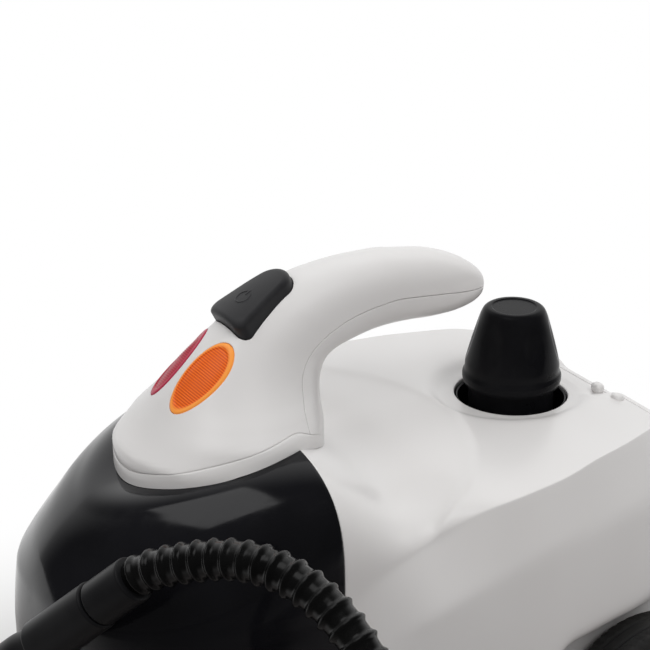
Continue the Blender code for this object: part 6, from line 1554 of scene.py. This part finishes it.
@dataclass
class Studio:
    """A white floor and surround, and soft lights. The world's light is lower on the camera's side, and there
    reflected rays see the floor dark, a painted shade that stands in for a studio's dark room.

    soft_side, soft_height and shine are smooth steps: from, to, and the levels at both. A lamp is its name, place,
    target, size and power, and whether reflections show it.
    """

    floor_size: float = 6.0
    floor_colour: Colour = (0.32, 0.295, 0.288)
    floor_seen: Colour = (0.90, 0.895, 0.89)
    # painted shade: the floor's colour for reflected rays on the camera's side
    floor_reflection_shade: Colour = (0.05, 0.05, 0.05)
    shade_middle: tuple = (0.13, 0.0)
    shade_half: tuple = (0.25, 0.20)
    shade_fade: tuple = (0.01, 0.20)
    floor_turn: tuple = (0.05, 0.45)
    soft_side: tuple = (-0.6, 0.8, 0.54, 0.44)
    soft_height: tuple = (-0.3, 0.9, 0.56, 1.02)
    shine: tuple = (-0.75, -0.05, 1.0, 0.06)
    lamps: tuple = (("softbox", (0.0, -0.46, 1.42), (0.02, 0.0, 0.15), (0.9, 0.7), 2.6, True),
                    ("key_light", (1.20, 0.25, 1.60), (0.0, 0.0, 0.12), (0.9, 0.9), 10.0, False),
                    ("back_light", (-0.60, 0.95, 1.20), (0.0, 0.05, 0.15), (0.9, 0.9), 2.8, False),
                    ("front_light", (0.35, -1.10, 1.20), (0.0, -0.05, 0.18), (0.9, 0.9), 3.4, False))

    def build(self) -> None:
        """Makes the floor, the world and the lights."""
        self._floor()
        self._world()
        for lamp in self.lamps:
            self._light(*lamp)

    def _floor(self) -> None:
        """A floor that is plain white to the camera away from the object, and keeps its shadow near it.

        The share of white is what sees it (camera, transmitted or reflected rays) times a smooth step of the
        distance from a box round the object. To reflected rays on the camera's side its colour is a painted
        shade, dark like a studio's room.
        """
        half = self.floor_size / 2
        mesh = bpy.data.meshes.new("studio_floor")
        mesh.from_pydata([(-half, -half, 0), (half, -half, 0), (half, half, 0), (-half, half, 0)], [], [(0, 1, 2, 3)])
        floor = add_object("studio_floor", mesh)
        look, tree, shader = new_material("studio_floor_look")
        fill(shader, Roughness=0.9)
        path, white, mix = add_nodes(tree, "LightPath", "Emission", "MixShader")
        fill(white.inputs, Color=(1.0, 1.0, 1.0), Strength=1.0)
        glossy, calc = path.outputs["Is Glossy Ray"], partial(maths, tree)
        toward, x, y, _ = toward_camera(tree)
        # painted shade in reflections: how far reflected rays see the floor dark, growing towards the camera's side
        dark = calc("MULTIPLY", glossy, smooth_range(tree, toward, *self.floor_turn))
        tone = tone_node(tree, None, self.floor_reflection_shade, 0.0, 1.0)
        pale = tone_node(tree, self.floor_colour, self.floor_seen, 0.0, 1.0)
        a, b = (calc("MAXIMUM", calc("SUBTRACT", calc("ABSOLUTE", calc("SUBTRACT", place, middle)), half_size), 0.0)
                for place, middle, half_size in zip((x, y), self.shade_middle, self.shade_half))
        distance = calc("POWER", calc("MULTIPLY_ADD", a, a, calc("MULTIPLY", b, b)), 0.5)
        seen = calc("MAXIMUM", path.outputs["Is Camera Ray"], path.outputs["Is Transmission Ray"])
        share = calc("MULTIPLY", calc("MAXIMUM", seen, calc("SUBTRACT", glossy, dark)),
                     smooth_range(tree, distance, *self.shade_fade))
        wire(tree, (seen, pale.inputs["Mask"]), (pale.outputs["Colour"], tone.inputs["Low"]),
             (dark, tone.inputs["Mask"]), (tone.outputs["Colour"], shader["Base Color"]), (share, mix.inputs["Fac"]),
             (tree.nodes["Principled BSDF"].outputs["BSDF"], mix.inputs[1]),
             (white.outputs["Emission"], mix.inputs[2]),
             (mix.outputs["Shader"], tree.nodes["Material Output"].inputs["Surface"]))
        mesh.materials.append(look)

    def _world(self) -> None:
        """White to the camera and, away from its side, to reflections, and a plain level with a fall-off as a light."""
        world = bpy.data.worlds.new("studio_world")
        bpy.context.scene.world = world
        world.use_nodes = True
        tree = world.node_tree
        back = tree.nodes["Background"]
        fill(back.inputs, Color=(1.0, 1.0, 1.0))
        path, = add_nodes(tree, "LightPath")
        toward, _, _, up = toward_camera(tree)
        glossy, calc = path.outputs["Is Glossy Ray"], partial(maths, tree)
        soft = calc("MULTIPLY", smooth_range(tree, toward, *self.soft_side), smooth_range(tree, up, *self.soft_height))
        plain = calc("MAXIMUM", path.outputs["Is Camera Ray"], path.outputs["Is Transmission Ray"])
        rest = calc("SUBTRACT", 1.0, calc("MAXIMUM", plain, glossy))
        level = calc("MULTIPLY_ADD", rest, soft, calc("MULTIPLY_ADD", glossy, smooth_range(tree, toward, *self.shine),
                                                      plain))
        wire(tree, (level, back.inputs["Strength"]))

    def _light(self, name: str, place: tuple, target: tuple, size: tuple, power: float, mirrored: bool) -> None:
        """One soft area light aimed at a target; mirrored tells whether reflections show it."""
        data = bpy.data.lights.new(name, "AREA")
        data.shape = "RECTANGLE"
        data.size, data.size_y, data.energy = size[0], size[1], power
        lamp = add_object(name, data)
        lamp.location = place
        lamp.rotation_euler = (Vector(target) - Vector(place)).to_track_quat("-Z", "Y").to_euler()
        lamp.visible_glossy = mirrored


@dataclass
class Camera:
    """The photograph's view: from the nose's left hand corner, from above."""

    place: tuple = (0.67673, -0.40380, 0.55507)
    azimuth: float = 60.0
    elevation: float = 22.0
    lens: float = 99.69
    sensor: float = 36.0

    def build(self) -> None:
        """Makes the camera and sets it as the scene's own."""
        data = bpy.data.cameras.new("photo_camera")
        data.lens, data.sensor_width, data.clip_start = self.lens, self.sensor, 0.01
        eye = add_object("photo_camera", data)
        turn, tilt = math.radians(self.azimuth), math.radians(self.elevation)
        ahead = Vector((-math.sin(turn) * math.cos(tilt), math.cos(turn) * math.cos(tilt), -math.sin(tilt)))
        eye.location = self.place
        eye.rotation_euler = ahead.to_track_quat("-Z", "Y").to_euler()
        bpy.context.scene.camera = eye


def dress_nodes() -> None:
    """Gives every CAD node that stays in sight a finish by its slot."""
    slots = {part["node"]: part["material_slot"] for part in frame["record"]["subparts"]}
    for name, node in frame["nodes"].items():
        if node.hide_render:
            continue
        look = NODE_FINISHES[slots[name]].build()
        if not node.data.materials:
            node.data.materials.append(look)
        for place in node.material_slots:
            place.material = look
        LOG.info("%s: carried over", name)


def main() -> None:
    """Builds the machine's looks and the stage."""
    logging.basicConfig(level=logging.INFO, format="%(message)s")
    bpy.context.scene.view_settings.view_transform = "Standard"
    Camera().build()
    Hose().build()
    form = BodyForm()
    form.build()
    Handle(form).build()
    Filler().build()
    RearWheels().build()
    dress_nodes()
    Studio().build()


if __name__ == "__main__":
    main()
